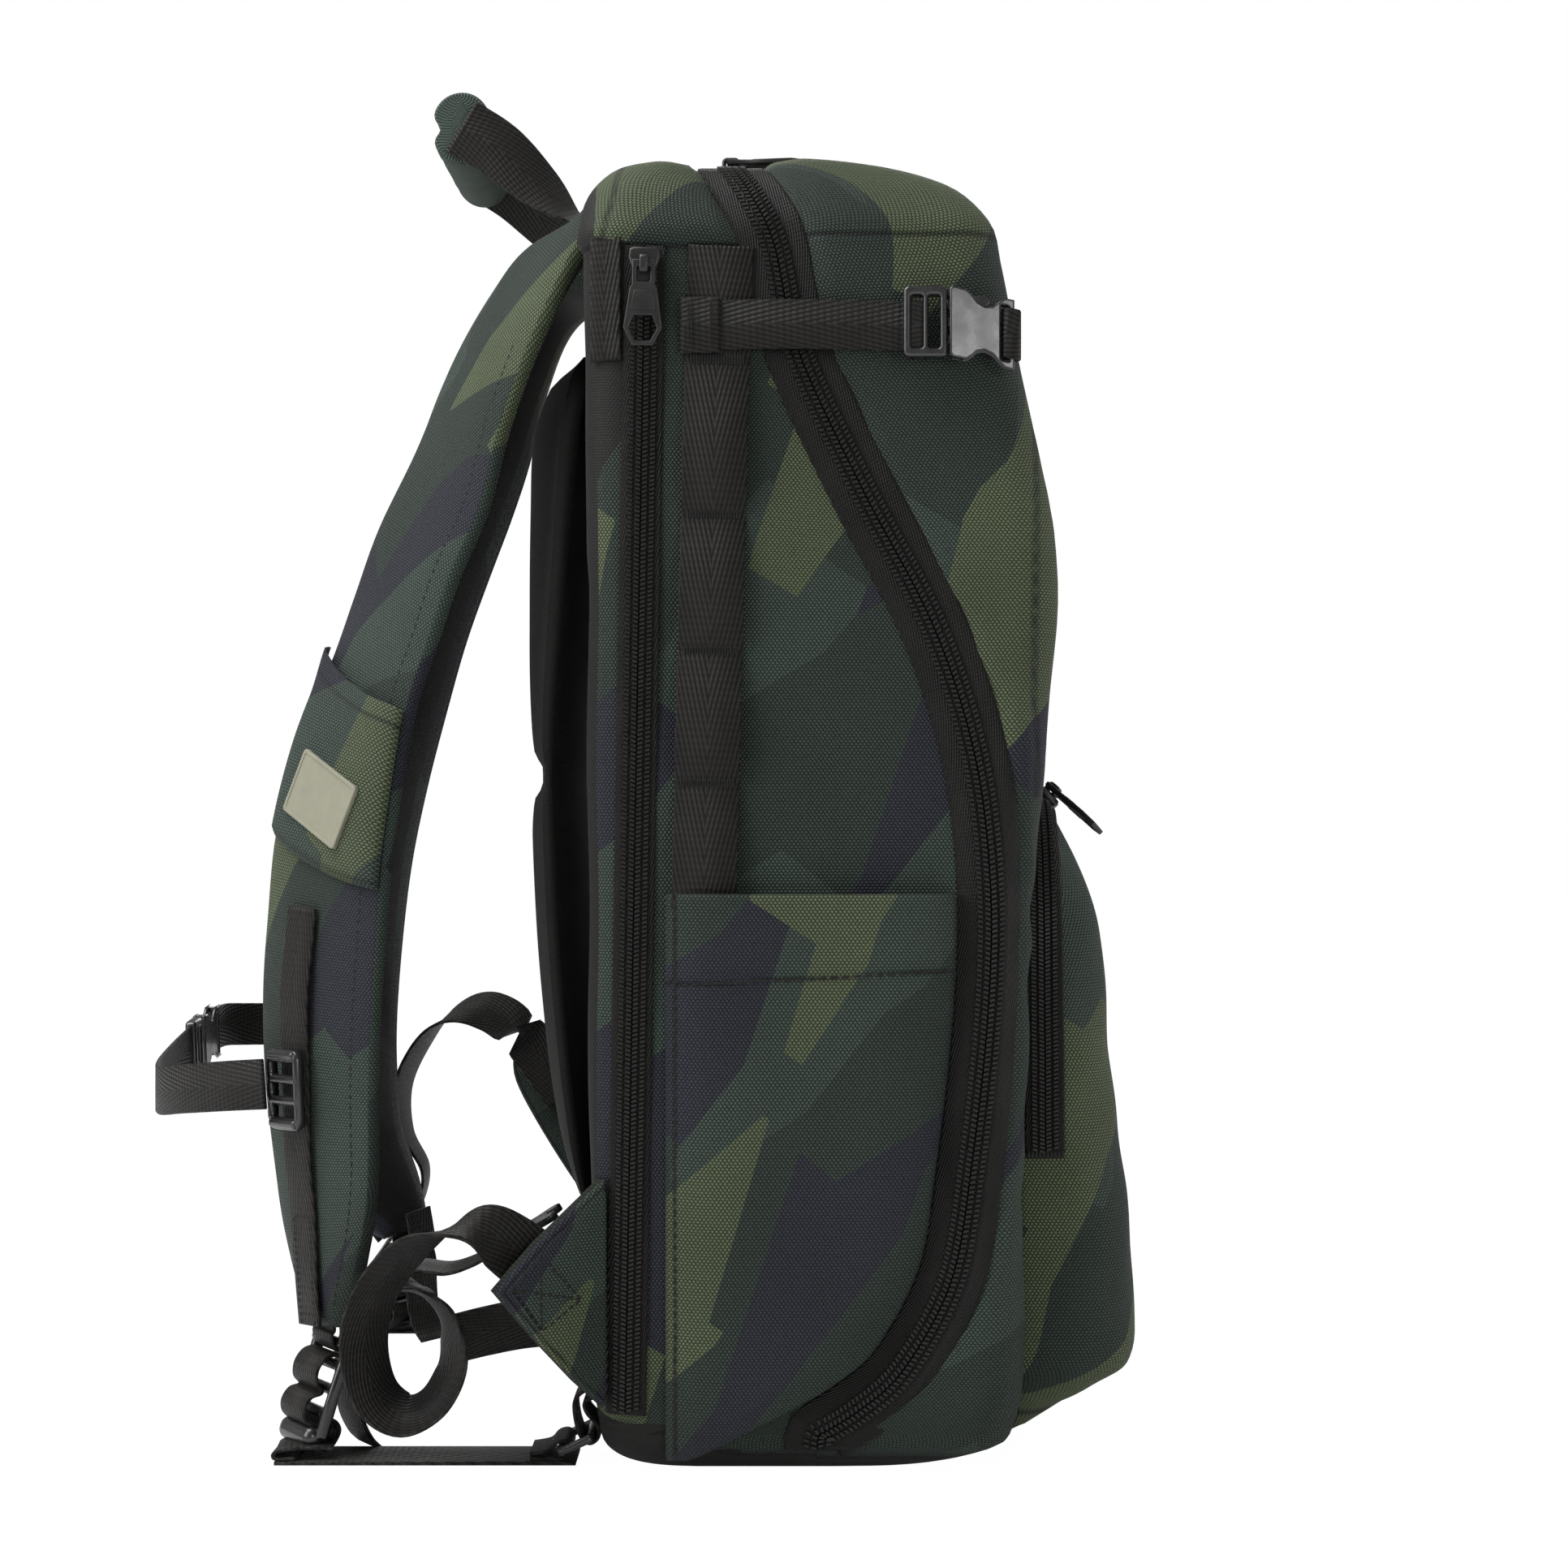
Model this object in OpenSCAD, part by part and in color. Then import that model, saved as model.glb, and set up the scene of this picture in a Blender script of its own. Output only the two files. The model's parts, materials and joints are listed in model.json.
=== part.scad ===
// Clamshell backpack with padded straps, hip wings and side pockets.
// Millimetres, +Z up, +X to the front pocket, -X to the wearer, origin on the ground under the bag.

/* [Bag] */
// Height of the bag without its handle
pack_h = 512; // [480:1:540]
// Width of the bag across the wearer's back
pack_w = 300; // [280:1:320]
// Thickness of the padded cloth walls
wall = 4.5; // [3:0.5:6]
// Thickness of the pocket cloth
pocket_wall = 3; // [2:0.5:4]
// How far the side pockets stand off the bag
side_pocket_d = 13; // [9:1:20]

/* [Zips] */
// Width of the main zip with both its tapes
main_tape_w = 26; // [20:1:28]
// Width of the laptop zip
laptop_tape_w = 16; // [12:1:18]
// Thickness of a zip tape
tape_t = 1.6; // [1:0.2:2]
// Gap between the two halves of the bag along the main zip
split_gap = 0.8; // [0.4:0.2:1.6]
// Length of a slider
slider_l = 14; // [12:1:16]
// Length of a pull from its pin
pull_l = 32; // [26:1:36]

/* [Webbing] */
// Width of the gear loops up the sides
gear_w = 25; // [20:1:30]
// Width of the compression straps
compression_w = 19; // [15:1:20]
// Width of the hip belt and of the lower straps
belt_w = 25; // [20:1:26]
// Width of the sternum strap
sternum_w = 20; // [15:1:22]
// Thickness of all webbing
web_t = 1.6; // [1.2:0.2:2]

/* [Harness] */
// Thickness of the padded shoulder straps
strap_t = 13; // [10:1:15]
// Thickness of the mesh lining under a strap
lining_t = 2; // [1:0.5:3]
// Thickness of the back pad's cushions
pad_t = 14; // [10:1:16]
// Length of the handle's grip
grip_l = 84; // [70:2:84]
// Thickness of the hip wings
wing_t = 9; // [6:1:11]

/* [Buckles] */
// Height of a compression buckle
buckle_h = 27; // [25:1:29]
// Thickness of a compression buckle
buckle_t = 8; // [7:1:9]

/* [Hidden] */

cloth = "#2b3f36";
cloth_light = "#4e5e3c";
black_cloth = "#24221f";
black_web = "#2b2927";
black_plastic = "#151515";
grip_green = "#3a5243";
khaki = "#9a9878";

$fn = 32;
half_w = pack_w / 2;
kz = pack_h / 512;
far = 600;
eps = 0.01;

// Bag outline by height: z, back, front, how far the sides draw in, corner radius
bag_rows = [
    [0, -62, 40, 16, 24], [2, -68, 58, 10, 22], [6, -73, 74, 5, 20], [12, -76, 84, 2, 17],
    [30, -78, 86, 0, 15], [120, -80, 87, 0, 15], [225, -81, 90, 0, 15], [265, -81, 94, 0, 15],
    [300, -81, 97, 0, 15], [340, -81, 100, 0, 15], [360, -82, 99, 0, 15], [395, -82, 93, 0, 15],
    [425, -82, 87, 0, 15], [465, -83, 79, 0, 16], [480, -83, 75, 1, 17], [491, -82, 69, 5, 20],
    [500, -79, 60, 11, 23], [507, -72, 44, 20, 26], [512, -55, 14, 38, 24]
];

// Main zip seen from the side: x, z
zip_points = [
    [-27, 540], [-26, 512], [-17, 494], [-8, 474], [1, 434], [26, 380], [53, 328], [69, 278],
    [75, 228], [74, 178], [68, 122], [60, 76], [41, 41], [23, 25], [8, 16]
];
zip_foot = 9;
hinge_x = 8;

// Front pocket outline by height: z, front, half width
pocket_rows = [
    [14, 92, 126], [20, 106, 130], [27, 121, 132], [36, 133, 132], [48, 136.5, 131], [66, 136, 130],
    [92, 134, 129], [125, 131, 127], [158, 128, 125], [190, 125, 122], [213, 121.5, 119],
    [231, 117, 114], [247, 110, 106], [257, 104, 98], [262, 99, 91]
];
pocket_corner = 24;
pocket_back_corner = 1;
pocket_tape_x = [91, 106];
pocket_tape_foot = 119;

// Side pocket
side_pocket_left_x = -50;
side_pocket_top = 225;
side_pocket_foot = 5;
side_pocket_inset = 5;

// Laptop zip line: top and foot, x and z
laptop_top = [-58, 466];
laptop_foot = [-65.5, 24];
laptop_lean = atan2(laptop_top[0] - laptop_foot[0], (laptop_top[1] - laptop_foot[1]) * kz);

// Gear loops: top and foot, x and z
gear_top = [-29.5, 449];
gear_foot = [-35, side_pocket_top];

// Compression straps
compression_z = 443 * kz;
compression_x = [-43, 50];
compression_tab_l = 14;
// How far the socket of a compression buckle hangs down along its length
buckle_drop = 0.2;
strap_plane = half_w + 3.8;
buckle_x = 41;
ladder_l = 17;
prong_l = 12;
female_l = 25;
buckle_plane = strap_plane + web_t + 0.5;

// Left shoulder strap from the yoke down: middle, and the vector from its inner to its outer edge
strap_mid = [
    [-82, -90, 496], [-101, -92, 478], [-115, -94, 454], [-128, -98, 424], [-139, -102, 390],
    [-152, -106, 360], [-161, -108, 333], [-169, -111, 308], [-178, -113, 277], [-185, -113, 243],
    [-188, -113, 211], [-190, -113, 180], [-190, -113, 146], [-188, -113, 113], [-187, -113, 91],
    [-186, -113, 68], [-185, -113, 50]
];
strap_across = [
    [6, -58, -6], [16, -57, -24], [18, -57, -36], [24, -57, -38], [32, -56, -30],
    [36, -55, -24], [37, -53, -22], [38, -52, -20], [46, -50, -16], [51, -50, -10],
    [52, -50, -5], [52, -50, -3], [50, -50, 0], [46, -50, 5], [40, -46, 9],
    [28, -37, 10], [16, -22, 5]
];
// The right strap bows further from the back. Its line is given for the left side
strap_mid_right = [
    [-82, -90, 496], [-101, -92, 504], [-121, -95, 497], [-137, -98, 467], [-148, -102, 440],
    [-159, -106, 411], [-171, -108, 380], [-183, -111, 348], [-194, -113, 312], [-203, -113, 272],
    [-210, -113, 232], [-214, -113, 192], [-216, -113, 150], [-215, -113, 117], [-211, -113, 90],
    [-200, -113, 67], [-189, -113, 50]
];
strap_across_right = [
    [6, -58, -6], [10, -57, -8], [16, -57, -24], [22, -57, -34], [32, -56, -30],
    [36, -55, -24], [37, -54, -22], [38, -54, -20], [40, -55, -16], [38, -59, -10],
    [36, -61, -5], [34, -62, -3], [32, -62, 0], [31, -60, 5], [30, -54, 9],
    [26, -40, 10], [16, -22, 5]
];
strap_steps = 2;
strap_pocket_rows = [14, 19];
strap_pocket_t = 3;
strap_patch_row = 17;
strap_patch_size = [40, 27, 1.6];
strap_patch_turn = 15;
rail_rows = [20, 32];
rail_w = 16;
rail_u = -0.1;
rail_gap = 0.2;
slider_row = 24;

// Back pad by height: z, inner face, share of the pad's thickness, half width
pad_rows = [
    [92, -81.5, 0.2, 104], [104, -83, 0.65, 112], [125, -86, 0.9, 116], [160, -90, 1, 118],
    [205, -94, 1, 118], [245, -96, 1, 118], [260, -96.5, 0.9, 118], [267, -97, 0.55, 117],
    [273, -97, 0.55, 117], [280, -96.5, 0.9, 118], [300, -95.5, 1.1, 118], [340, -92, 1.4, 117],
    [380, -88.5, 1.65, 115], [410, -86, 1.8, 112], [430, -84, 1.5, 106], [440, -83.5, 0.5, 98]
];

// Handle: left webbing from the grip to the seam, and the vector across it
handle_mid = [[-142, -44, 547], [-126, -45, 537], [-109, -45.5, 521], [-95, -46, 508], [-81.5, -46, 499.5]];
handle_across = [[10, 0, 22], [13, 4, 19], [13, 14, 15], [6, 22, 6], [2, 24, 2]];
grip_x = -142;
grip_z = 547;
grip_half = [13, 15.5];

// Left sternum webbing from the slider to the buckle, and the right one back
sternum_left = [
    [-210.5, -120.6, 148], [-228, -110, 146], [-251, -86, 142], [-267, -58, 138], [-275, -26, 138],
    [-276, 4, 142], [-274, 29.5, 147]
];
sternum_right = [[-271, 65, 152], [-269, 80, 153], [-263, 94, 152], [-252, 105, 151], [-238, 113.8, 150]];
sternum_buckle_at = [-273, 42, 148.5];
sternum_buckle_turn = [0, -8, 85];

// Hip wings seen from the side: x from the seam, z
wing_left_points = [[0, 115], [-28, 93], [-46, 76], [-28, 55], [-12, 38], [0, 27]];
wing_right_points = [[0, 115], [-26, 128], [-54, 140], [-66, 130], [-62, 112], [-36, 70], [0, 23]];
wing_seam = [-75, -1.5, 69];
wing_open_left = 32;
wing_open_right = 8;
hip_left_mid = [
    [-103, -157, 86], [-116, -163, 96], [-129, -166, 98], [-143, -164, 93], [-155, -160, 81],
    [-163, -158, 66], [-165, -157, 49], [-160, -158, 33], [-149, -159, 26], [-138, -157, 31],
    [-132, -152, 44], [-135, -145, 58], [-144, -138, 67], [-152, -133.5, 70.5], [-155, -132, 75],
    [-148, -131.5, 78], [-136, -131.5, 77], [-126, -131.5, 80], [-118, -132, 84.5]
];
hip_left_across = [
    [10, 4, 18], [8, 15, 14], [-1, 24, 1], [5, 22, -9], [10, 20, -10],
    [15, 20, -4], [15, 20, 2], [10, 20, 8], [3, 21, 10], [-7, 21, 7],
    [-11, 21, 3], [-10, 22, -4], [-4, 24, -3], [0, 24, 0], [0, 24, 0],
    [0, 24, 0], [0, 24, 0], [0, 24, 0], [0, 24, 0]
];
hip_right_mid = [
    [-112, 146.5, 112], [-132, 149.5, 138], [-150, 155, 152], [-168, 158, 152], [-184, 158, 140],
    [-196, 156, 116], [-194, 156, 92], [-185, 156, 74], [-187, 156, 58], [-194, 156, 46]
];
hip_right_across = [
    [-18, 2, 16], [-18, 4, 15], [-10, 14, 17], [2, 22, 8], [6, 24, 0],
    [6, 24, 0], [2, 24, 0], [0, 24, 0], [0, 24, 0], [0, 24, 0]
];
hip_buckle_l = 26;
hip_buckle_t = 7;
buckle_rim = 6;

// Lower straps
lower_y = 122;
lower_x = [-204, -86];
lower_z = 0.2;
lock_at = [-190, -113, 25.5];
lock_lean = 20;
lock_turn = 36;
ring_at = [-86, -122, 8.5];
ring_tilt = 25;

function at(p) = [p[0], p[1] * pack_w / 300, p[2] * kz];
function mix(a, b, t) = a + (b - a) * t;
function unit(v) = v / norm(v);
function last(p) = p[len(p) - 1];
function curve(a, b, c, d, t) =
    0.5 * (2 * b + (c - a) * t + (2 * a - 5 * b + 4 * c - d) * t * t + (3 * b - a - 3 * c + d) * t * t * t);
// A smooth line through the points, with a number of steps between each two
function smooth(p, steps) = [
    for (i = [0 : len(p) - 2], k = [0 : steps - 1])
        curve(p[max(i - 1, 0)], p[i], p[i + 1], p[min(i + 2, len(p) - 1)], k / steps),
    last(p)
];
function tangent(p, i) = unit(p[min(i + 1, len(p) - 1)] - p[max(i - 1, 0)]);

// A closed skin through rings that turn counterclockwise about the way they follow.
// A skin laid on another one is flipped, so that the two meet along the same edges.
module skin(rings, flip = false) {
    n = len(rings[0]);
    m = len(rings);
    middles = [for (r = [rings[0], last(rings)]) [for (k = [0 : 2]) mid_of(r, k)]];
    points = concat([for (r = rings) each r], middles);
    sides = [for (i = [0 : m - 2], j = [0 : n - 1])
        let (a = i * n + j, b = i * n + (j + 1) % n, c = a + n, d = b + n)
        each flip ? [[a, c, b], [c, d, b]] : [[a, d, b], [a, c, d]]];
    foot = [for (j = [0 : n - 1]) [m * n, j, (j + 1) % n]];
    head = [for (j = [0 : n - 1]) [m * n + 1, (m - 1) * n + (j + 1) % n, (m - 1) * n + j]];
    polyhedron(points, concat(sides, foot, head), convexity = 8);
}
function mid_of(r, k) = [for (p = r) p[k]] * [for (p = r) 1] / len(r);

// A rounded rectangle at a height, counterclockwise from above, with radii at its front and back corners
function round_ring(z, x0, x1, y, front, back) = [
    for (c = [[x1, 1, 0, front], [x0, 1, 90, back], [x0, -1, 180, back], [x1, -1, 270, front]], k = [0 : 3])
        let (a = c[2] + k * 30, x = c[0] + (c[0] == x1 ? -1 : 1) * c[3])
        [x + c[3] * cos(a), c[1] * (y - c[3]) + c[3] * sin(a), z]
];

// Flat webbing along a line: the middle, the vectors across it, its width and thickness
module ribbon(mid, across, wide, thick) {
    skin([for (i = [0 : len(mid) - 1])
        let (t = tangent(mid, i), w = unit(across[i] - (across[i] * t) * t), n = cross(t, w))
        [for (s = [[1, 1], [-1, 1], [-1, -1], [1, -1]])
            mid[i] + s[0] * wide / 2 * w + s[1] * thick / 2 * n]]);
}

module across_bag(d = 2 * far) rotate([90, 0, 0]) linear_extrude(height = d, center = true) children();
module left_half() translate([-far, -far, -far]) cube([2 * far, far - half_w / 2, 2 * far]);
module mirrored() mirror([0, 1, 0]) children();

// The bag's outer skin, grown or shrunk evenly, whole or between two rows of its outline
module bag(grow, rows = [0, len(bag_rows) - 1]) {
    skin([for (i = [rows[0] : rows[1]])
        let (r = bag_rows[i], z = mix(-grow, pack_h + grow, r[0] / 512), y = half_w - r[3] + grow)
        round_ring(z, r[1] - grow, r[2] + grow, y, r[4] + grow, r[4] + grow)]);
}

zip_line = [for (p = smooth(zip_points, 2)) [p[0], p[1] * kz]];
function zip_side(d, foot) = [
    for (i = [0 : len(zip_line) - 1])
        let (t = tangent(zip_line, i), p = zip_line[i] + d * [-t[1], t[0]])
        if (p[1] > foot) p
];
function reversed(p) = [for (i = [len(p) - 1 : -1 : 0]) p[i]];
function half_outline(d, x) =
    concat(zip_side(d, zip_foot), [[hinge_x + d, zip_foot], [hinge_x + d, -far], [x, -far], [x, far]]);

// A zip half: a strip of the skin beside the zip line
module main_tape(d0, d1) {
    intersection() {
        difference() {
            bag(tape_t);
            bag(0);
        }
        across_bag() polygon(concat(zip_side(d0, zip_foot), reversed(zip_side(d1, zip_foot))));
    }
}

// Something laid on the left side of the bag, cut to an outline that lies between two rows
module on_left(thick, rows) {
    intersection() {
        difference() {
            bag(thick, rows);
            bag(0, rows);
        }
        across_bag() children();
        left_half();
    }
}

module main_shell() {
    color(cloth) intersection() {
        difference() {
            bag(0);
            bag(-wall);
        }
        across_bag() polygon(half_outline(-split_gap / 2, -far));
    }
}

module frame_sheet() {
    sheet_t = 2;
    color("dimgray") translate([-74 - sheet_t / 2, -110, 120 * kz]) cube([sheet_t, 220, 340 * kz]);
}

module laptop_divider() {
    divider_x = -50;
    divider_t = 5;
    color(black_cloth) intersection() {
        bag(-wall);
        translate([divider_x - divider_t / 2, -far, -far]) cube([divider_t, 2 * far, 2 * far]);
    }
}

module main_zip_tape_back() {
    color(black_web) main_tape(-main_tape_w / 2, -split_gap / 2);
}

module laptop_zip_tape() {
    half = laptop_tape_w / 2;
    color(black_web) on_left(tape_t, [3, 14]) polygon([
        for (p = [[laptop_top, -1], [laptop_foot, -1], [laptop_foot, 1], [laptop_top, 1]])
            [p[0][0] + p[1] * half, p[0][1] * kz]
    ]);
}

module gear_webbing_left() {
    half = gear_w / 2;
    color(black_web) translate([0, -half_w - web_t / 2, 0]) across_bag(web_t) polygon([
        for (p = [[gear_top, -1], [gear_foot, -1], [gear_foot, 1], [gear_top, 1]])
            [p[0][0] + p[1] * half, p[0][1] * kz]
    ]);
}

module gear_webbing_right() mirrored() gear_webbing_left();

// Outline of a side pocket between its back seam and the main zip, drawn in by an amount
module pocket_outline(inset, top) {
    edge = [for (p = zip_side(-main_tape_w / 2 - 1 - inset, side_pocket_foot + inset))
        if (p[1] < side_pocket_top * kz) p];
    polygon(concat(
        [[side_pocket_left_x + inset, side_pocket_foot + 4 + inset], [side_pocket_left_x + inset, top],
            [edge[0][0], top]],
        edge,
        [[side_pocket_left_x + 8 + inset, side_pocket_foot + inset]]
    ));
}

module side_pocket_left() {
    plate = 0.5;
    top = side_pocket_top * kz;
    color(cloth_light) difference() {
        hull() {
            translate([0, plate / 2 - half_w - plate, 0]) across_bag(plate) pocket_outline(0, top);
            translate([0, plate / 2 - half_w - side_pocket_d, 0])
                across_bag(plate) pocket_outline(side_pocket_inset, top);
        }
        hull() {
            translate([0, plate - half_w, 0]) across_bag(2 * plate) pocket_outline(pocket_wall, top + 9);
            translate([0, plate / 2 - half_w - side_pocket_d + pocket_wall, 0])
                across_bag(plate) pocket_outline(side_pocket_inset + pocket_wall, top + 9);
        }
    }
}

module side_pocket_right() mirrored() side_pocket_left();

module compression_webbing_left() {
    l = compression_x[1] - compression_x[0];
    z0 = compression_z - compression_w / 2;
    color(black_web) union() {
        translate([compression_x[0], -strap_plane - web_t, z0]) cube([l, web_t, compression_w]);
        translate([compression_x[0], -strap_plane - eps, z0])
            cube([compression_tab_l, strap_plane - half_w - web_t + eps, compression_w]);
    }
}

module compression_webbing_right() mirrored() compression_webbing_left();

module compression_male_left() {
    slot = [4.5, buckle_h - 7];
    prong = [4, 4];
    prong_off = 6.5;
    color(black_plastic) translate([buckle_x, -buckle_plane - buckle_t, compression_z]) union() {
        difference() {
            translate([0, 0, -buckle_h / 2]) cube([ladder_l, buckle_t - 1, buckle_h]);
            for (x = [3, 9.5]) translate([x, -1, -slot[1] / 2]) cube([slot[0], buckle_t + 2, slot[1]]);
        }
        for (s = [-1, 1])
            translate([ladder_l - eps, buckle_t / 2 - prong[1] / 2 - 0.5, s * prong_off - prong[0] / 2])
                cube([prong_l, prong[1], prong[0]]);
    }
}

module compression_male_right() mirrored() compression_male_left();

module compression_female_left() {
    shell = 1.4;
    gap = 0.5;
    socket_l = 17;
    slot_l = 4;
    t = buckle_t - 0.2;
    h = buckle_h / 2;
    // A block between two x, z and y whose far end hangs lower
    module hung(x, z, y) translate([0, y[1], 0]) rotate([90, 0, 0]) linear_extrude(y[1] - y[0]) polygon([
        [x[0], z[0] - buckle_drop * x[0]], [x[1], z[0] - buckle_drop * x[1]],
        [x[1], z[1] - buckle_drop * x[1]], [x[0], z[1] - buckle_drop * x[0]]
    ]);
    color(black_plastic) translate([buckle_x + ladder_l + gap, -buckle_plane - buckle_t, compression_z])
        difference() {
            hung([0, female_l], [-h, h], [0, t]);
            hung([-1, socket_l], [shell - h, h - shell], [shell, t - shell]);
            hung([female_l - slot_l - 2.5, female_l - 2.5], [3 - h, h - 3], [-1, buckle_t + 1]);
            for (s = [-1, 1]) hung([7, 15], [s * h - 2, s * h + 2], [-1, buckle_t + 1]);
        }
}

module compression_female_right() mirrored() compression_female_left();

module compression_tab_left() {
    tab_l = 14;
    x = buckle_x + ladder_l + female_l - tab_l;
    z = compression_z - compression_w / 2 - buckle_drop * (female_l - tab_l / 2);
    color(black_web) difference() {
        translate([x, -buckle_plane - 0.1, z]) cube([tab_l, buckle_plane - half_w + 10, compression_w]);
        bag(0, [11, 14]);
    }
}

module compression_tab_right() mirrored() compression_tab_left();

module back_pad() {
    steps = 8;
    rows = [for (r = pad_rows) [r[0] * kz, r[1], r[2] * pad_t, r[3] * pack_w / 300]];
    color(black_cloth) skin([for (r = rows) concat(
        [for (k = [0 : steps]) [r[1], mix(-r[3], r[3], k / steps), r[0]]],
        [for (k = [0 : steps])
            let (u = mix(1, -1, k / steps))
            [r[1] - r[2] * (1 - 0.7 * pow(u, 4)), u * r[3], r[0]]]
    )]);
}

module yoke_patch_left() {
    color(black_web) on_left(web_t, [12, 15]) polygon([
        for (p = [[-79, 434], [-79, 476], [-67, 476], [-67, 434]]) [p[0], p[1] * kz]
    ]);
}

module yoke_patch_right() mirrored() yoke_patch_left();

// A strap's line and its vectors across, row by row
function strap_of(mid, across) = [smooth([for (p = mid) at(p)], strap_steps), smooth(across, strap_steps)];
strap_left = strap_of(strap_mid, strap_across);
strap_right = strap_of(strap_mid_right, strap_across_right);
function strap_crown(u) = strap_t / 2 * (1 - 0.72 * pow(u, 4));
function strap_out(s, i) = unit(cross(tangent(s[0], i), s[1][i]));
function strap_at(s, i, u, h) = s[0][i] + u / 2 * s[1][i] + h * strap_out(s, i);
// A layer of the strap from row to row, between two shares of its width and two heights
module strap_layer(s, rows, u0, u1, low, high, flip = true) {
    steps = 5;
    skin([for (i = [rows[0] : rows[1]]) concat(
        [for (k = [0 : steps]) let (u = mix(u1(i), u0(i), k / steps)) strap_at(s, i, u, high(u))],
        [for (k = [0 : steps]) let (u = mix(u0(i), u1(i), k / steps)) strap_at(s, i, u, low(u))]
    )], flip);
}
strap_rows = [0, len(strap_left[0]) - 1];
inner_edge = function (i) -1;
outer_edge = function (i) 1;

module shoulder_strap(s) {
    color(cloth) difference() {
        strap_layer(s, strap_rows, inner_edge, outer_edge, function (u) -strap_crown(u), strap_top, false);
        bag(0, [12, 17]);
    }
}
strap_top = function (u) strap_crown(u);

module shoulder_strap_left() shoulder_strap(strap_left);
module shoulder_strap_right() mirrored() shoulder_strap(strap_right);

module strap_lining(s) {
    color(black_cloth) strap_layer(
        s, [2, strap_rows[1] - 2], inner_edge, outer_edge,
        function (u) -strap_crown(u) - lining_t, function (u) -strap_crown(u)
    );
}

module strap_lining_left() strap_lining(strap_left);
module strap_lining_right() mirrored() strap_lining(strap_right);

module strap_pocket() {
    color(cloth) strap_layer(
        strap_left, strap_pocket_rows, inner_edge, outer_edge,
        strap_top, function (u) strap_crown(u) + strap_pocket_t
    );
}

module strap_patch() {
    u = 0.05;
    size = strap_patch_size;
    color(khaki) on_strap(strap_left, strap_patch_row, u, strap_crown(u) + strap_pocket_t + 0.1)
        rotate([0, 0, strap_patch_turn]) translate([-size[0] / 2, -size[1] / 2, 0]) cube(size);
}

module strap_rail(s) {
    half = function (i) min(rail_w / norm(s[1][i]), 0.5);
    low = function (u) strap_crown(u) + rail_gap;
    color(black_web) strap_layer(
        s, rail_rows,
        function (i) rail_u - half(i), function (i) rail_u + half(i),
        low, function (u) low(u) + web_t
    );
}

module strap_rail_left() strap_rail(strap_left);
module strap_rail_right() mirrored() strap_rail(strap_right);

module ladder_lock_left() {
    size = [5, 30, 42];
    slot = [size[1] - 8, 5.5];
    color(black_plastic) translate(at(lock_at)) rotate([0, 0, lock_turn]) rotate([0, lock_lean, 0]) difference() {
        translate([-size[0] / 2, -size[1] / 2, -size[2] / 2]) cube(size);
        for (z = [-15.5, -6, 3.5, 13])
            translate([-size[0], -slot[0] / 2, z]) cube([2 * size[0], slot[0], slot[1]]);
    }
}

module ladder_lock_right() mirrored() ladder_lock_left();

module lower_webbing_left() {
    color(black_web) translate([lower_x[0], -lower_y - belt_w / 2, lower_z])
        cube([lower_x[1] - lower_x[0], belt_w, web_t]);
}

module lower_webbing_right() mirrored() lower_webbing_left();

module anchor_ring_left() {
    outer = [16, 30];
    bar = 3.4;
    color(black_plastic) translate(at(ring_at)) rotate([0, -ring_tilt, 0]) difference() {
        linear_extrude(height = bar, center = true) square(outer, center = true);
        linear_extrude(height = 2 * bar, center = true) square(outer - [2 * bar, 2 * bar], center = true);
    }
}

module anchor_ring_right() mirrored() anchor_ring_left();

module front_lid() {
    color(cloth) intersection() {
        difference() {
            bag(0);
            bag(-wall);
        }
        across_bag() polygon(half_outline(split_gap / 2, far));
    }
}

module main_zip_tape_front() {
    color(black_web) main_tape(split_gap / 2, main_tape_w / 2);
}

// The front pocket's outer skin, grown or shrunk evenly
module pocket_skin(grow) {
    foot = pocket_rows[0][0];
    height = last(pocket_rows)[0] - foot;
    back = 60;
    skin([for (r = pocket_rows)
        let (z = mix(foot - grow, foot + height + grow, (r[0] - foot) / height) * kz,
             y = r[2] * pack_w / 300 + grow)
        round_ring(z, back + 2 * grow, r[1] + grow, y, pocket_corner + grow, pocket_back_corner)]);
}

module front_pocket() {
    color(cloth) difference() {
        pocket_skin(0);
        pocket_skin(-pocket_wall);
        bag(0);
    }
}

module pocket_zip_tape() {
    color(black_web) intersection() {
        difference() {
            pocket_skin(tape_t);
            pocket_skin(0);
            bag(0);
        }
        translate([pocket_tape_x[0], -far, pocket_tape_foot * kz])
            cube([pocket_tape_x[1] - pocket_tape_x[0], 2 * far, far]);
    }
}

// A zip slider on the tape's face at z = 0, along y, with its pull's hinge turned about z
pin_h = 6;
pin_r = 1;
pin_play = 0.3;
crown_w = 4;
module zip_slider(turn) {
    plate_w = 12;
    plate_t = 3;
    rise = 0.8;
    color(black_plastic) union() {
        translate([-plate_w / 2, -slider_l / 2, rise]) cube([plate_w, slider_l, plate_t]);
        rotate([0, 0, turn]) difference() {
            translate([-crown_w / 2, -3.5, rise + plate_t - eps]) cube([crown_w, 7, 4.2]);
            translate([-plate_w / 2, 0, pin_h]) rotate([0, 90, 0]) cylinder(r = pin_r + pin_play, h = plate_w);
        }
    }
}

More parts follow.
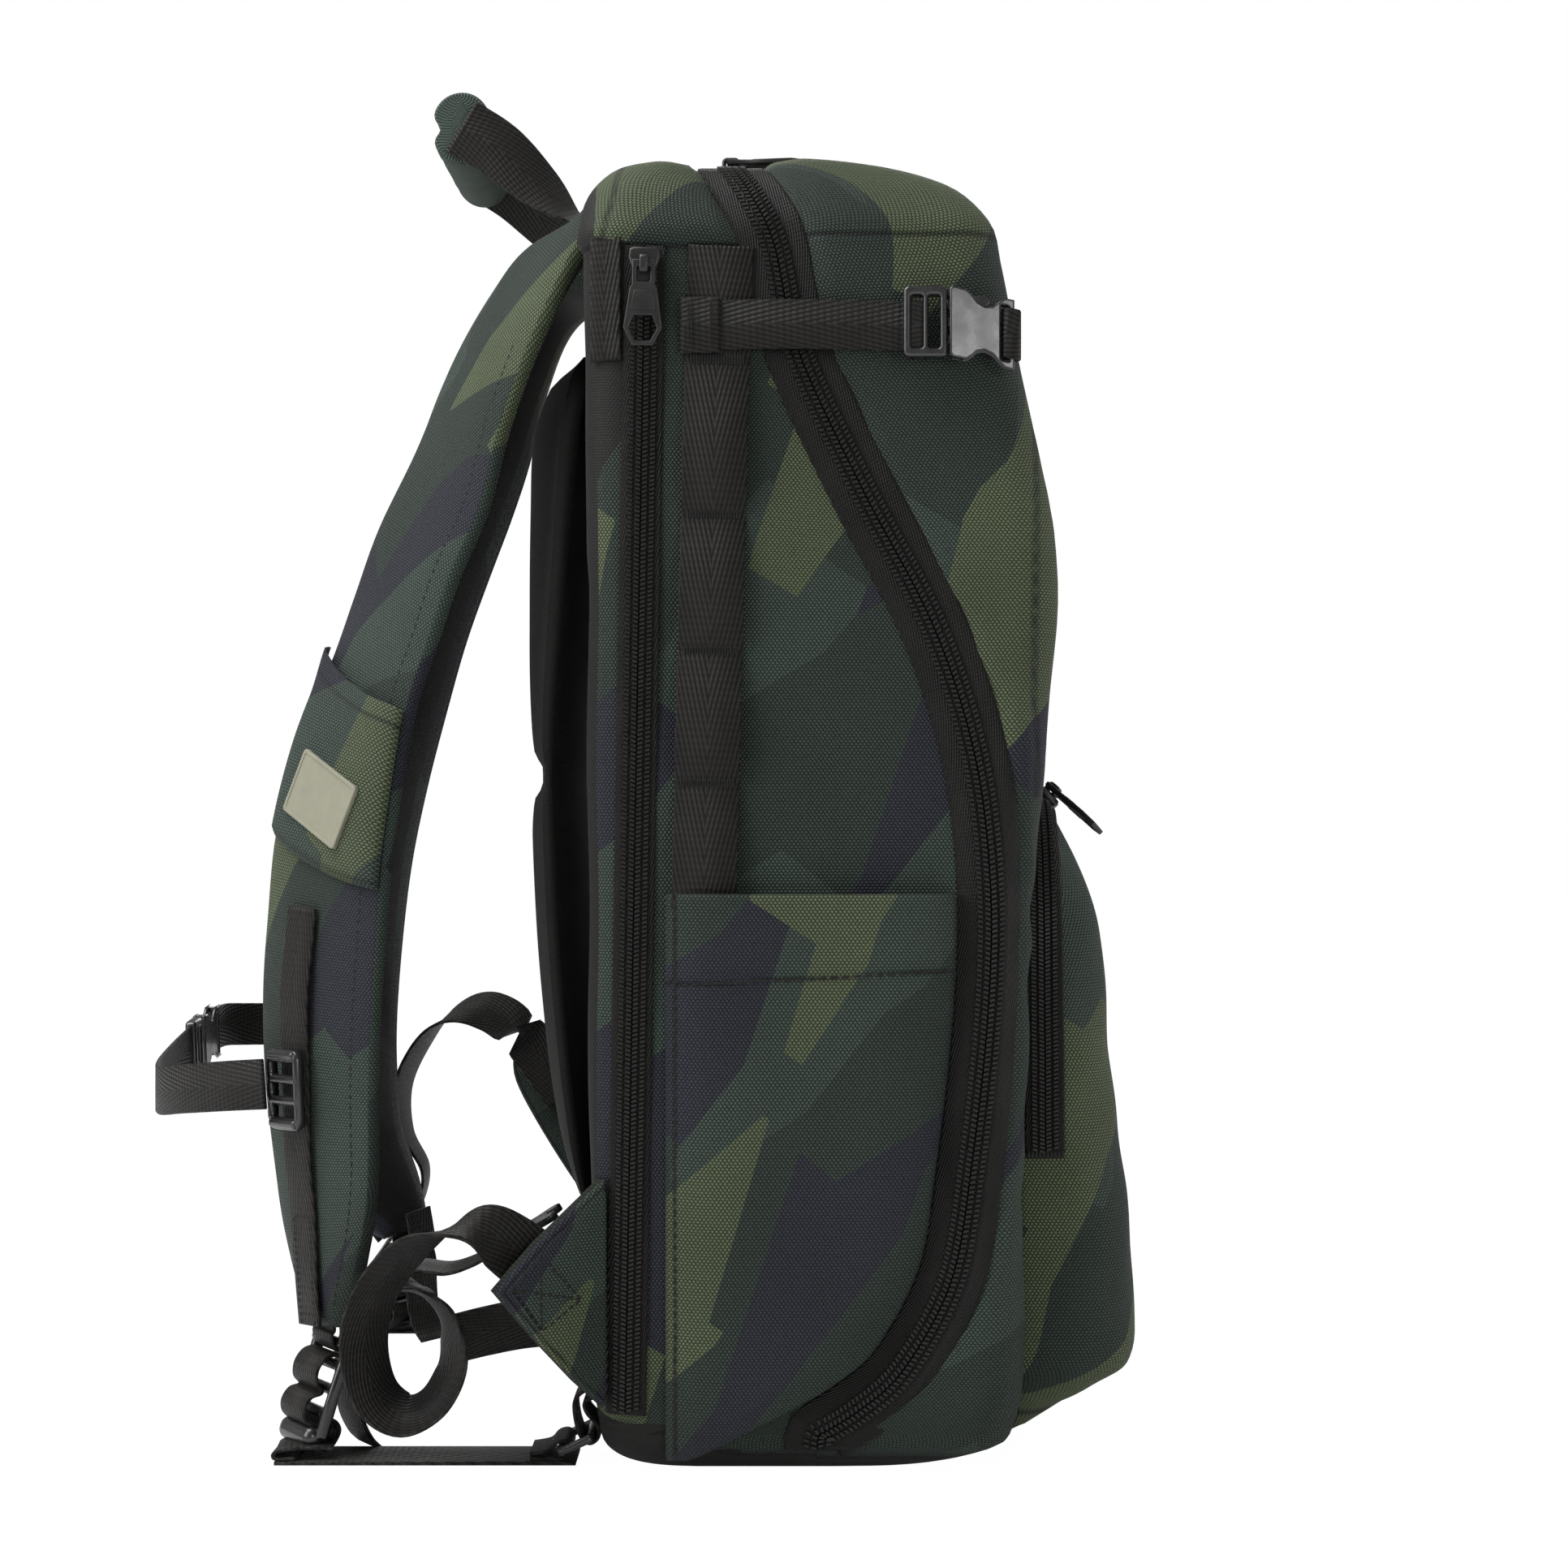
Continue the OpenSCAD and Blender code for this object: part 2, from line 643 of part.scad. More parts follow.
// The pull of such a slider, lying flat toward -y before its turn
module zip_pull(turn) {
    arm = [1.8, 9];
    plate_t = 2;
    play = 0.4;
    span = crown_w / 2 + play;
    hexagon_r = 7.5;
    color(black_plastic) rotate([0, 0, turn]) translate([0, 0, pin_h]) union() {
        translate([-span - arm[0], 0, 0]) rotate([0, 90, 0]) cylinder(r = pin_r, h = 2 * (span + arm[0]));
        for (s = [0, 1]) mirror([s, 0, 0])
            translate([span, -arm[1], -plate_t / 2]) cube([arm[0], arm[1] + pin_r, plate_t]);
        translate([0, 0, -plate_t / 2]) linear_extrude(height = plate_t) difference() {
            union() {
                polygon([[-span - arm[0], -arm[1] + eps], [-hexagon_r + 1, hexagon_r - pull_l],
                    [hexagon_r - 1, hexagon_r - pull_l], [span + arm[0], -arm[1] + eps]]);
                translate([0, hexagon_r - pull_l]) rotate(30) circle(r = hexagon_r, $fn = 6);
            }
            translate([0, hexagon_r - pull_l]) rotate(30) circle(r = hexagon_r - 3, $fn = 6);
        }
    }
}

module on_laptop_zip() {
    translate([laptop_top[0], -half_w - tape_t, laptop_top[1] * kz])
        rotate([0, laptop_lean, 0]) rotate([90, 0, 0]) children();
}

module laptop_slider() on_laptop_zip() zip_slider(0);
module laptop_pull() on_laptop_zip() zip_pull(0);

main_slider_y = [-92, -58];
module on_main_zip(k) translate([zip_points[1][0], main_slider_y[k] * pack_w / 300, pack_h + tape_t]) children();

module main_slider_a() on_main_zip(0) zip_slider(90);
module main_pull_a() on_main_zip(0) zip_pull(90);
module main_slider_b() on_main_zip(1) zip_slider(90);
module main_pull_b() on_main_zip(1) zip_pull(90);

pocket_slider_at = [102, -70, 259];
pocket_slope = 45;
module on_pocket_zip()
    translate(at(pocket_slider_at)) rotate([0, pocket_slope, 0]) translate([0, 0, tape_t + 0.3]) children();

pocket_slider_turn = 45;
module pocket_slider() on_pocket_zip() zip_slider(pocket_slider_turn);
module pocket_pull() on_pocket_zip() zip_pull(pocket_slider_turn);

module handle_webbing() {
    mid = smooth([for (p = handle_mid) at(p)], 3);
    across = smooth(handle_across, 3);
    color(black_web) for (s = [0, 1]) mirror([0, s, 0]) ribbon(mid, across, belt_w, web_t);
}

// A padded roll with a sewn channel along both its sides
module handle_grip() {
    sides = 20;
    shares = [[-1, 0.72], [-0.96, 0.94], [-0.8, 1], [-0.4, 1.02], [0, 1.03], [0.4, 1.02], [0.8, 1], [0.96, 0.94],
        [1, 0.72]];
    color(grip_green) skin([for (s = shares) [for (k = [0 : sides - 1])
        let (a = -360 * k / sides, waist = 1 - 0.3 * exp(-pow(sin(a) / 0.28, 2)))
        [grip_x + s[1] * grip_half[0] * cos(a) * waist, s[0] * grip_l / 2, grip_z * kz + s[1] * grip_half[1] * sin(a)]]]);
}

// Places a sternum slider on its strap: along the strap, across it, and out from it
module on_strap(s, i, u, h) {
    t = tangent(s[0], i);
    n = strap_out(s, i);
    w = cross(n, t);
    p = strap_at(s, i, u, h);
    multmatrix([[w[0], t[0], n[0], p[0]], [w[1], t[1], n[1], p[1]], [w[2], t[2], n[2], p[2]], [0, 0, 0, 1]])
        children();
}

module sternum_slider(s) {
    size = [21, 32, 4.5];
    slot = [sternum_w - 4, 5];
    clear = 3.2;
    color(black_plastic)
        on_strap(s, slider_row, rail_u, strap_crown(rail_u) + web_t + clear) difference() {
            translate([-size[0] / 2, -size[1] / 2, 0]) cube(size);
            for (y = [-11, -2.5, 6]) translate([-slot[0] / 2, y, -1]) cube([slot[0], slot[1], size[2] + 2]);
        }
}

module sternum_slider_left() sternum_slider(strap_left);
module sternum_slider_right() mirrored() sternum_slider(strap_right);

function upright(p) = [for (q = p) [0, 0, 1]];
module sternum_webbing_left() {
    mid = smooth([for (p = sternum_left) at(p)], 2);
    color(black_web) ribbon(mid, upright(mid), sternum_w, web_t);
}

module sternum_webbing_right() {
    mid = smooth([for (p = sternum_right) at(p)], 2);
    color(black_web) ribbon(mid, upright(mid), sternum_w, web_t);
}

// A side-release buckle half along x: the socket
module buckle_socket(l, h, t) {
    shell = 1.4;
    difference() {
        translate([0, -t / 2, -h / 2]) cube([l, t, h]);
        translate([-1, -t / 2 + shell, -h / 2 + shell]) cube([l * 0.7 + 1, t - 2 * shell, h - 2 * shell]);
        for (s = [-1, 1]) translate([l * 0.3, -t, s * h / 2 - 1.6]) cube([l * 0.3, 2 * t, 3.2]);
    }
}

// A side-release buckle half along x: the prongs point to +x and the strap bar is behind them
module buckle_prongs(l, h, t) {
    shell = 1.4;
    arm = 3;
    union() {
        translate([-l * 0.55, -t / 2, -h / 2]) difference() {
            cube([l * 0.55, t, h]);
            translate([l * 0.15, -1, 3]) cube([l * 0.22, t + 2, h - 6]);
        }
        for (s = [-1, 1])
            translate([-eps, -t / 2 + shell + 0.4, s * (h / 2 - shell - arm / 2 - 0.5) - arm / 2])
                cube([l * 0.5, t - 2 * shell - 0.8, arm]);
    }
}

buckle_gap = 0.4;
sternum_buckle_l = 22;
sternum_buckle_t = 6;
module at_sternum_buckle() translate(at(sternum_buckle_at)) rotate(sternum_buckle_turn) children();

module sternum_buckle_male()
    color(black_plastic) at_sternum_buckle() buckle_prongs(sternum_buckle_l, sternum_w + 4, sternum_buckle_t);
module sternum_buckle_female()
    color(black_plastic) at_sternum_buckle() translate([buckle_gap, 0, 0])
        buckle_socket(sternum_buckle_l, sternum_w + 4, sternum_buckle_t);

// A padded wing that tapers to its tip, with a sewn rim, drawn about its seam
module hip_wing(points) {
    rim = 0.45;
    core = 0.74;
    core_x = -4;
    outline = [for (p = points) [p[0], (p[1] - wing_seam[2]) * kz]];
    hull() {
        across_bag(wing_t * rim) polygon(outline);
        translate([core_x, 0, 0]) across_bag(wing_t) scale(core) polygon(outline);
    }
}

module hip_wing_left() {
    color(cloth) translate([wing_seam[0], -half_w - wing_seam[1], wing_seam[2] * kz])
        rotate([0, 0, wing_open_left]) hip_wing(wing_left_points);
}

module hip_wing_right() {
    color(cloth) translate([wing_seam[0], half_w + wing_seam[1], wing_seam[2] * kz])
        rotate([0, 0, -wing_open_right]) hip_wing(wing_right_points);
}

module hip_webbing_left() {
    mid = smooth([for (p = hip_left_mid) at(p)], 3);
    color(black_web) ribbon(mid, smooth(hip_left_across, 3), belt_w, web_t);
}

module hip_webbing_right() {
    mid = smooth([for (p = hip_right_mid) at(p)], 3);
    color(black_web) ribbon(mid, smooth(hip_right_across, 3), belt_w, web_t);
}

// Places a hip buckle flat on the end of its webbing, with +x running on from it
module on_webbing_end(mid) {
    way = tangent(mid, len(mid) - 1);
    translate(last(mid)) rotate([0, -atan2(way[2], way[0]), 0]) rotate([90, 0, 0])
        translate([buckle_gap, 0, 0]) children();
}

module hip_buckle_male() {
    bar_l = 0.55 * hip_buckle_l;
    color(black_plastic) on_webbing_end(smooth([for (p = hip_left_mid) at(p)], 3))
        translate([bar_l, 0, 0]) buckle_prongs(hip_buckle_l, belt_w + buckle_rim, hip_buckle_t);
}

module hip_buckle_female() {
    color(black_plastic) on_webbing_end(smooth([for (p = hip_right_mid) at(p)], 3))
        translate([hip_buckle_l, 0, 0]) mirror([1, 0, 0])
            buckle_socket(hip_buckle_l, belt_w + buckle_rim, hip_buckle_t);
}

main_shell();
frame_sheet();
laptop_divider();
main_zip_tape_back();
laptop_zip_tape();
gear_webbing_left();
gear_webbing_right();
side_pocket_left();
side_pocket_right();
compression_webbing_left();
compression_webbing_right();
back_pad();
yoke_patch_left();
yoke_patch_right();
shoulder_strap_left();
shoulder_strap_right();
strap_lining_left();
strap_lining_right();
strap_pocket();
strap_patch();
strap_rail_left();
strap_rail_right();
ladder_lock_left();
ladder_lock_right();
lower_webbing_left();
lower_webbing_right();
anchor_ring_left();
anchor_ring_right();
front_lid();
main_zip_tape_front();
front_pocket();
pocket_zip_tape();
compression_female_left();
compression_female_right();
compression_tab_left();
compression_tab_right();
compression_male_left();
compression_male_right();
laptop_slider();
laptop_pull();
main_slider_a();
main_pull_a();
main_slider_b();
main_pull_b();
pocket_slider();
pocket_pull();
handle_webbing();
handle_grip();
sternum_slider_left();
sternum_slider_right();
sternum_webbing_left();
sternum_webbing_right();
sternum_buckle_male();
sternum_buckle_female();
hip_wing_left();
hip_wing_right();
hip_webbing_left();
hip_webbing_right();
hip_buckle_male();
hip_buckle_female();
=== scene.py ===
# %% [markdown]
# # Dressing a clamshell backpack
# The CAD model gives every size, place and joint. This lesson builds the cloth, webbing, zips and
# plastic that the camera sees around it. Lengths are written in millimetres and become metres when
# a mesh is made.

# %% Load the frame
import json
import math
from functools import partial

import bpy
import numpy as np
from mathutils import Matrix, Vector

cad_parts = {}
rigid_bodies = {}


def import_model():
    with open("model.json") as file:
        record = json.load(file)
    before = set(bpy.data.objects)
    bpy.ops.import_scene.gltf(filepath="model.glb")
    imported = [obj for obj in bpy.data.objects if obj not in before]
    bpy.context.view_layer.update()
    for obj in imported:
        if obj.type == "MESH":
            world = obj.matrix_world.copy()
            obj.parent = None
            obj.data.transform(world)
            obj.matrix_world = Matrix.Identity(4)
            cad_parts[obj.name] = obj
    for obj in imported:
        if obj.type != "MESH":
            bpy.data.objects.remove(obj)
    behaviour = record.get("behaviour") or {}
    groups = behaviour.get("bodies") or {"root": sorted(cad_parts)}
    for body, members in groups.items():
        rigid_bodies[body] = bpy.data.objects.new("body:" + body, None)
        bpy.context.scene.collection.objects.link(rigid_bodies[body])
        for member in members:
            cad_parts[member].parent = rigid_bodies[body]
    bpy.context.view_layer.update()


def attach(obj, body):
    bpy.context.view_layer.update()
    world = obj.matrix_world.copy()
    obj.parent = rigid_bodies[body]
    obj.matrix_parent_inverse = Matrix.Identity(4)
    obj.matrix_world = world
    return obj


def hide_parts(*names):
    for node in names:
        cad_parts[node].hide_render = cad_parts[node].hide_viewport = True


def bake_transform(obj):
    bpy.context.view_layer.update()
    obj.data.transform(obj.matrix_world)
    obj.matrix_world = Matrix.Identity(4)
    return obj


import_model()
bpy.ops.object.select_all(action="DESELECT")
scene = bpy.context.scene
MM = 0.001

# %% [markdown]
# ## Short words for shader nodes
# The world, the floor and every finish are trees of nodes. Each helper makes one node and feeds its
# inputs with numbers or with the outputs of other nodes, so that a tree reads like a formula.

# %% Small helpers for nodes
def feed(tree, socket, value):
    """Links a socket, or sets its value."""
    if isinstance(value, bpy.types.NodeSocket):
        tree.links.new(value, socket)
    else:
        socket.default_value = value


def new_node(tree, kind, *values, **settings):
    """One shader node with its settings, and with its first inputs fed in order."""
    node = tree.nodes.new("ShaderNode" + kind)
    for key, value in settings.items():
        setattr(node, key, value)
    for socket, value in zip(node.inputs, values):
        feed(tree, socket, value)
    return node


def calc(tree, operation, *values, clamp=False):
    """One Math node."""
    return new_node(tree, "Math", *values, operation=operation, use_clamp=clamp).outputs[0]


def mix_colour(tree, share, first, second, blend="MIX"):
    """One Mix node for colours."""
    node = new_node(tree, "Mix", data_type="RGBA", blend_type=blend)
    for label, value in (("Factor", share), ("A", first), ("B", second)):
        feed(tree, node.inputs[label], value)
    return node.outputs["Result"]


def span(tree, value, low, high, to_low, to_high):
    """One Map Range node, clamped."""
    return new_node(tree, "MapRange", value, low, high, to_low, to_high).outputs["Result"]


def fuzz(tree, vector, scale, detail=2.0):
    """Soft noise from 0 to 1 at a number of grains per metre."""
    node = new_node(tree, "TexNoise", vector)
    node.inputs["Scale"].default_value = scale
    node.inputs["Detail"].default_value = detail
    return node.outputs["Fac"]


def new_group(name, inputs, output, kind):
    """An empty node group that reads a vector and other numbers, with its inputs and its one output."""
    tree = bpy.data.node_groups.new(name, "ShaderNodeTree")
    tree.interface.new_socket("Vector", in_out="INPUT", socket_type="NodeSocketVector")
    for label, value in inputs.items():
        socket = tree.interface.new_socket(label, in_out="INPUT", socket_type="NodeSocketFloat")
        socket.default_value = value
    tree.interface.new_socket(output, in_out="OUTPUT", socket_type="NodeSocket" + kind)
    return tree, tree.nodes.new("NodeGroupInput").outputs, tree.nodes.new("NodeGroupOutput").inputs[0]


def place_group(tree, group, vector, **values):
    """A group placed in a material, with its inputs fed by name."""
    node = new_node(tree, "Group", vector, node_tree=group)
    for label, value in values.items():
        feed(tree, node.inputs[label.title()], value)
    return node.outputs[0]


# %% [markdown]
# ## Camera, light and floor
# A product photograph of a dark bag is lit by large soft boxes on a white sweep. The world gives the
# even light, one box in front at the right gives plastic its pale reflections, and one above gives
# the cloth its soft shading. The background is white for the camera alone, so it adds no light to the
# bag.

# %% Camera
scene.view_settings.view_transform = "Standard"
camera_data = bpy.data.cameras.new("camera")
camera = bpy.data.objects.new("camera", camera_data)
scene.collection.objects.link(camera)
camera.location = (-4.4 * MM, -1150 * MM, 267 * MM)
camera.rotation_euler = (math.radians(90), 0, 0)
camera_data.lens = 59.6
camera_data.sensor_width = 36
camera_data.clip_start = 0.01
scene.camera = camera
print("camera at", tuple(round(v, 3) for v in camera.location))

# %% Lights, world and floor
def soft_box(name, place, aim, size, power):
    """A rectangular area lamp that looks from one point to another, in metres."""
    lamp = bpy.data.lights.new(name, "AREA")
    lamp.shape = "RECTANGLE"
    lamp.size, lamp.size_y = size
    lamp.energy = power
    obj = bpy.data.objects.new(name, lamp)
    obj.location = place
    obj.rotation_euler = (Vector(aim) - Vector(place)).to_track_quat("-Z", "Y").to_euler()
    scene.collection.objects.link(obj)


soft_box("box_above", (-0.85, -0.3, 1.8), (-0.05, 0, 0.3), (1.3, 1.1), 27)
soft_box("box_right", (0.8, -1.7, 0.55), (0.05, -0.1, 0.38), (0.36, 0.42), 4.2)
soft_box("box_left", (-1.6, -0.9, 1.0), (-0.1, 0, 0.35), (0.9, 1.2), 13)
soft_box("box_front", (1.9, 0.3, 1.0), (0, 0, 0.3), (1.0, 1.2), 9)
soft_box("box_far", (0.1, 2.0, 1.1), (0, 0, 0.3), (1.0, 1.2), 9)

world = bpy.data.worlds.new("studio")
scene.world = world
world.use_nodes = True
tree = world.node_tree
tree.nodes.clear()
rays = new_node(tree, "LightPath").outputs
seen = calc(tree, "MAXIMUM", rays["Is Camera Ray"], rays["Is Transmission Ray"])
even = new_node(tree, "Background", (1, 0.99, 0.98, 1), 0.26).outputs[0]
white = new_node(tree, "Background", (1, 1, 1, 1), 1.0).outputs[0]
new_node(tree, "OutputWorld", new_node(tree, "MixShader", seen, even, white).outputs[0])

bpy.ops.mesh.primitive_plane_add(size=8, location=(0, 0, -0.0004))
floor = bpy.context.object
floor.name = "floor"
floor_paint = bpy.data.materials.new("pale_floor")
floor_paint.use_nodes = True
tree = floor_paint.node_tree
paint = tree.nodes["Principled BSDF"]
paint.inputs["Base Color"].default_value = (0.86, 0.86, 0.86, 1)
paint.inputs["Roughness"].default_value = 0.9
glow = new_node(tree, "Emission", (1, 1, 1, 1), 1.06).outputs[0]
share = calc(tree, "MULTIPLY", new_node(tree, "LightPath").outputs["Is Camera Ray"], 0.93)
mixed = new_node(tree, "MixShader", share, paint.outputs[0], glow).outputs[0]
feed(tree, tree.nodes["Material Output"].inputs["Surface"], mixed)
floor.data.materials.append(floor_paint)
floor.select_set(False)
print("five soft boxes over a pale floor")

# %% [markdown]
# ## Finishes
# The bag has two cloths: a coarse woven one with a printed camouflage, and a smooth black one. The
# weave, the print and the webbing's herringbone are node groups, built once. Each reads the piece's
# own UV map, which is laid out in metres, so that threads keep their real size and follow the cloth.

# %% The coarse weave: rows of thread floats, every other row shifted by half a float
weave, given, thread_out = new_group("coarse_weave", {"Across": 0.0016, "Along": 0.00114}, "Thread", "Float")
sums = partial(calc, weave)
across, along = new_node(weave, "SeparateXYZ", given["Vector"]).outputs[:2]
column = sums("DIVIDE", across, given["Across"])
row = sums("DIVIDE", along, given["Along"])
shift = sums("MULTIPLY", sums("FLOORED_MODULO", sums("FLOOR", row), 2.0), 0.5)
off_x = sums("SUBTRACT", sums("FRACT", sums("ADD", column, shift)), 0.5)
off_y = sums("SUBTRACT", sums("FRACT", row), 0.5)
wide = sums("POWER", sums("MULTIPLY", sums("ABSOLUTE", off_x), 2.15), 2.0)
high = sums("POWER", sums("MULTIPLY", sums("ABSOLUTE", off_y), 1.75), 2.0)
feed(weave, thread_out, sums("SUBTRACT", 1.0, sums("ADD", wide, high), clamp=True))

# %% The print: slanted splinters in four colours
NAVY = (0.0170, 0.0188, 0.0275, 1)
DARK_GREEN = (0.0205, 0.0315, 0.0250, 1)
GREY_GREEN = (0.0320, 0.0480, 0.0385, 1)
OLIVE = (0.0660, 0.0840, 0.0440, 1)
BLACK_CLOTH = (0.0105, 0.0098, 0.0092, 1)
COARSE_BUMP = (0.0006, 0.8)
camouflage, given, colour_out = new_group("splinter_print", {}, "Color", "Color")


def splinters(tree, vector, angle, size, shift):
    """Angular cells, stretched along a slant, as a random number per cell."""
    slant = (0, 0, math.radians(angle))
    turn = new_node(tree, "Mapping", vector, shift, slant, (*size, 1), vector_type="TEXTURE")
    cells = new_node(tree, "TexVoronoi", voronoi_dimensions="2D", distance="MANHATTAN")
    feed(tree, cells.inputs["Vector"], turn.outputs[0])
    cells.inputs["Scale"].default_value = 1
    return new_node(tree, "SeparateColor", cells.outputs["Color"]).outputs[0]


first = splinters(camouflage, given["Vector"], 52, (0.128, 0.046), (0, 0, 0))
ramp = new_node(camouflage, "ValToRGB", first)
ramp.color_ramp.interpolation = "CONSTANT"
ramp.color_ramp.elements[0].color = DARK_GREEN
ramp.color_ramp.elements[1].position = 0.34
ramp.color_ramp.elements[1].color = GREY_GREEN
ramp.color_ramp.elements.new(0.68).color = NAVY
second = splinters(camouflage, given["Vector"], 57, (0.135, 0.040), (0.21, 0.05, 0))
flash = calc(camouflage, "GREATER_THAN", second, 0.79)
feed(camouflage, colour_out, mix_colour(camouflage, flash, ramp.outputs[0], OLIVE))

# %% Herringbone: steep cords that meet in a V along the middle of the webbing
herringbone, given, thread_out = new_group("herringbone", {"Rib": 0.0018}, "Thread", "Float")
sums = partial(calc, herringbone)
across, along = new_node(herringbone, "SeparateXYZ", given["Vector"]).outputs[:2]
lean = sums("SUBTRACT", sums("DIVIDE", along, 4.4), sums("ABSOLUTE", across))
rib = sums("PINGPONG", sums("DIVIDE", lean, given["Rib"]), 0.5)
bead = sums("PINGPONG", sums("DIVIDE", along, sums("MULTIPLY", given["Rib"], 1.45)), 0.5)
feed(herringbone, thread_out, sums("ADD", sums("MULTIPLY", rib, 1.45), sums("MULTIPLY", bead, 0.55)))


# %% Materials from the groups
def new_material(name, rough, gloss):
    """A material, its tree and its main node."""
    material = bpy.data.materials.new(name)
    material.use_nodes = True
    skin = material.node_tree.nodes["Principled BSDF"]
    skin.inputs["Roughness"].default_value = rough
    skin.inputs["Specular IOR Level"].default_value = gloss
    return material, material.node_tree, skin


def raise_by(tree, skin, height, distance, strength):
    bump = new_node(tree, "Bump")
    for label, value in (("Distance", distance), ("Strength", strength), ("Height", height)):
        feed(tree, bump.inputs[label], value)
    feed(tree, skin.inputs["Normal"], bump.outputs[0])


def shade(tree, colour, level):
    """A colour made darker or lighter by a value."""
    grey = new_node(tree, "CombineXYZ", level, level, level)
    return mix_colour(tree, 1.0, colour, grey.outputs[0], "MULTIPLY")


def soft_patches(tree, vector, scale, spread):
    """Faint patches of light and dark round 1."""
    return span(tree, fuzz(tree, vector, scale), 0.3, 0.7, 1 - spread, 1 + spread)


def woven_material(name, rough, gloss, sheen, colour, group, sizes, threads, patches, bump):
    """Cloth or tape of one colour: its weave, how dark and light its threads are, and its soft patches."""
    material, tree, skin = new_material(name, rough, gloss)
    skin.inputs["Sheen Weight"].default_value = sheen
    uv = new_node(tree, "UVMap").outputs[0]
    thread = place_group(tree, group, uv, **sizes)
    level = calc(tree, "MULTIPLY", span(tree, thread, *threads), soft_patches(tree, uv, *patches))
    feed(tree, skin.inputs["Base Color"], shade(tree, colour, level))
    raise_by(tree, skin, thread, *bump)
    return material


camo_cloth, tree, skin = new_material("camo_cloth", 0.62, 0.28)
skin.inputs["Sheen Weight"].default_value = 0.04
skin.inputs["Sheen Roughness"].default_value = 0.4
sums = partial(calc, tree)
uv = new_node(tree, "UVMap").outputs[0]
thread = place_group(tree, weave, uv)
trim, seam = (new_node(tree, "Attribute", attribute_name=name).outputs["Fac"] for name in ("trim", "seam"))
black = sums("GREATER_THAN", trim, 0.0)
colour = mix_colour(tree, black, place_group(tree, camouflage, uv), BLACK_CLOTH)
soft = soft_patches(tree, uv, 14, 0.12)
level = sums("MULTIPLY", span(tree, thread, 0.05, 0.8, 0.30, 1.95), soft)
woven = sums("MULTIPLY", level, sums("SUBTRACT", 1.0, black))
level = sums("ADD", woven, sums("MULTIPLY", soft, black))
groove = span(tree, seam, 2.2, 3.7, 0.0, 1.0)
# Along a seam the colour is darkened to three tenths: painted shade in the seam's groove, besides the groove
# that the bump cuts below.
level = sums("MULTIPLY", level, span(tree, groove, 0.0, 1.0, 1.0, 0.3))
feed(tree, skin.inputs["Base Color"], shade(tree, colour, level))
relief = sums("MULTIPLY", thread, sums("SUBTRACT", 1.0, sums("MULTIPLY", black, 0.7)))
raise_by(tree, skin, sums("SUBTRACT", relief, sums("MULTIPLY", groove, 2.0)), *COARSE_BUMP)

grip_cloth = woven_material(
    "grip_cloth", 0.62, 0.28, 0.04, (0.048, 0.072, 0.058, 1), weave, {},
    (0.05, 0.8, 0.5, 1.6), (40, 0.1), COARSE_BUMP,
)
black_cloth = woven_material(
    "black_cloth", 0.68, 0.2, 0.03, BLACK_CLOTH, weave, {"across": 0.0009, "along": 0.0006},
    (0.0, 1.0, 0.75, 1.2), (30, 0.15), (0.0002, 0.6),
)
webbing = woven_material(
    "webbing", 0.5, 0.22, 0.03, (0.0115, 0.0104, 0.0095, 1), herringbone, {"rib": 0.0018},
    (0.2, 0.9, 0.3, 2.3), (60, 0.2), COARSE_BUMP,
)
zip_tape = woven_material(
    "zip_tape", 0.5, 0.22, 0.03, (0.0105, 0.0097, 0.0090, 1), herringbone, {"rib": 0.0010},
    (0.2, 0.9, 0.6, 1.5), (60, 0.2), COARSE_BUMP,
)


def moulded(name, colour, rough, grain, gloss=0.4, coat=0.0):
    """Moulded or painted: fine grain and a little wear in its gloss."""
    material, tree, skin = new_material(name, rough, gloss)
    place = new_node(tree, "TexCoord").outputs["Object"]
    cloud = fuzz(tree, place, 160, 3)
    feed(tree, skin.inputs["Base Color"], shade(tree, colour, span(tree, cloud, 0.3, 0.7, 0.95, 1.06)))
    feed(tree, skin.inputs["Roughness"], span(tree, cloud, 0.3, 0.7, rough - 0.05, rough + 0.08))
    raise_by(tree, skin, fuzz(tree, place, 2200, 1), grain, 1.0)
    skin.inputs["Coat Weight"].default_value = coat
    skin.inputs["Coat Roughness"].default_value = 0.12
    return material


buckle_plastic = moulded("buckle_plastic", (0.012, 0.012, 0.0125, 1), 0.27, 0.00002, 0.8, 0.3)
zip_metal = moulded("zip_metal", (0.015, 0.0145, 0.014, 1), 0.36, 0.00003, 0.6)
coil_plastic = moulded("coil_plastic", (0.012, 0.0112, 0.0105, 1), 0.45, 0.00002)
sewing_thread = moulded("sewing_thread", (0.010, 0.0095, 0.009, 1), 0.7, 0.00005)
patch_rubber = moulded("patch_rubber", (0.29, 0.285, 0.215, 1), 0.6, 0.00005)
stiffener = moulded("stiffener", (0.10, 0.10, 0.10, 1), 0.6, 0.00005)
print(len(bpy.data.materials), "materials")

# %% [markdown]
# ## Building blocks
# Most of the bag is cloth that follows a line or a stack of outlines, so the pieces are lofted: rows
# of points with a UV map in real lengths. Hardware is different. It is drawn as a flat outline with
# its holes, and a curve object gives it thickness and rounded edges at once.

# %% Lines
def unit(vectors):
    vectors = np.asarray(vectors, float)
    return vectors / np.maximum(np.linalg.norm(vectors, axis=-1, keepdims=True), 1e-9)


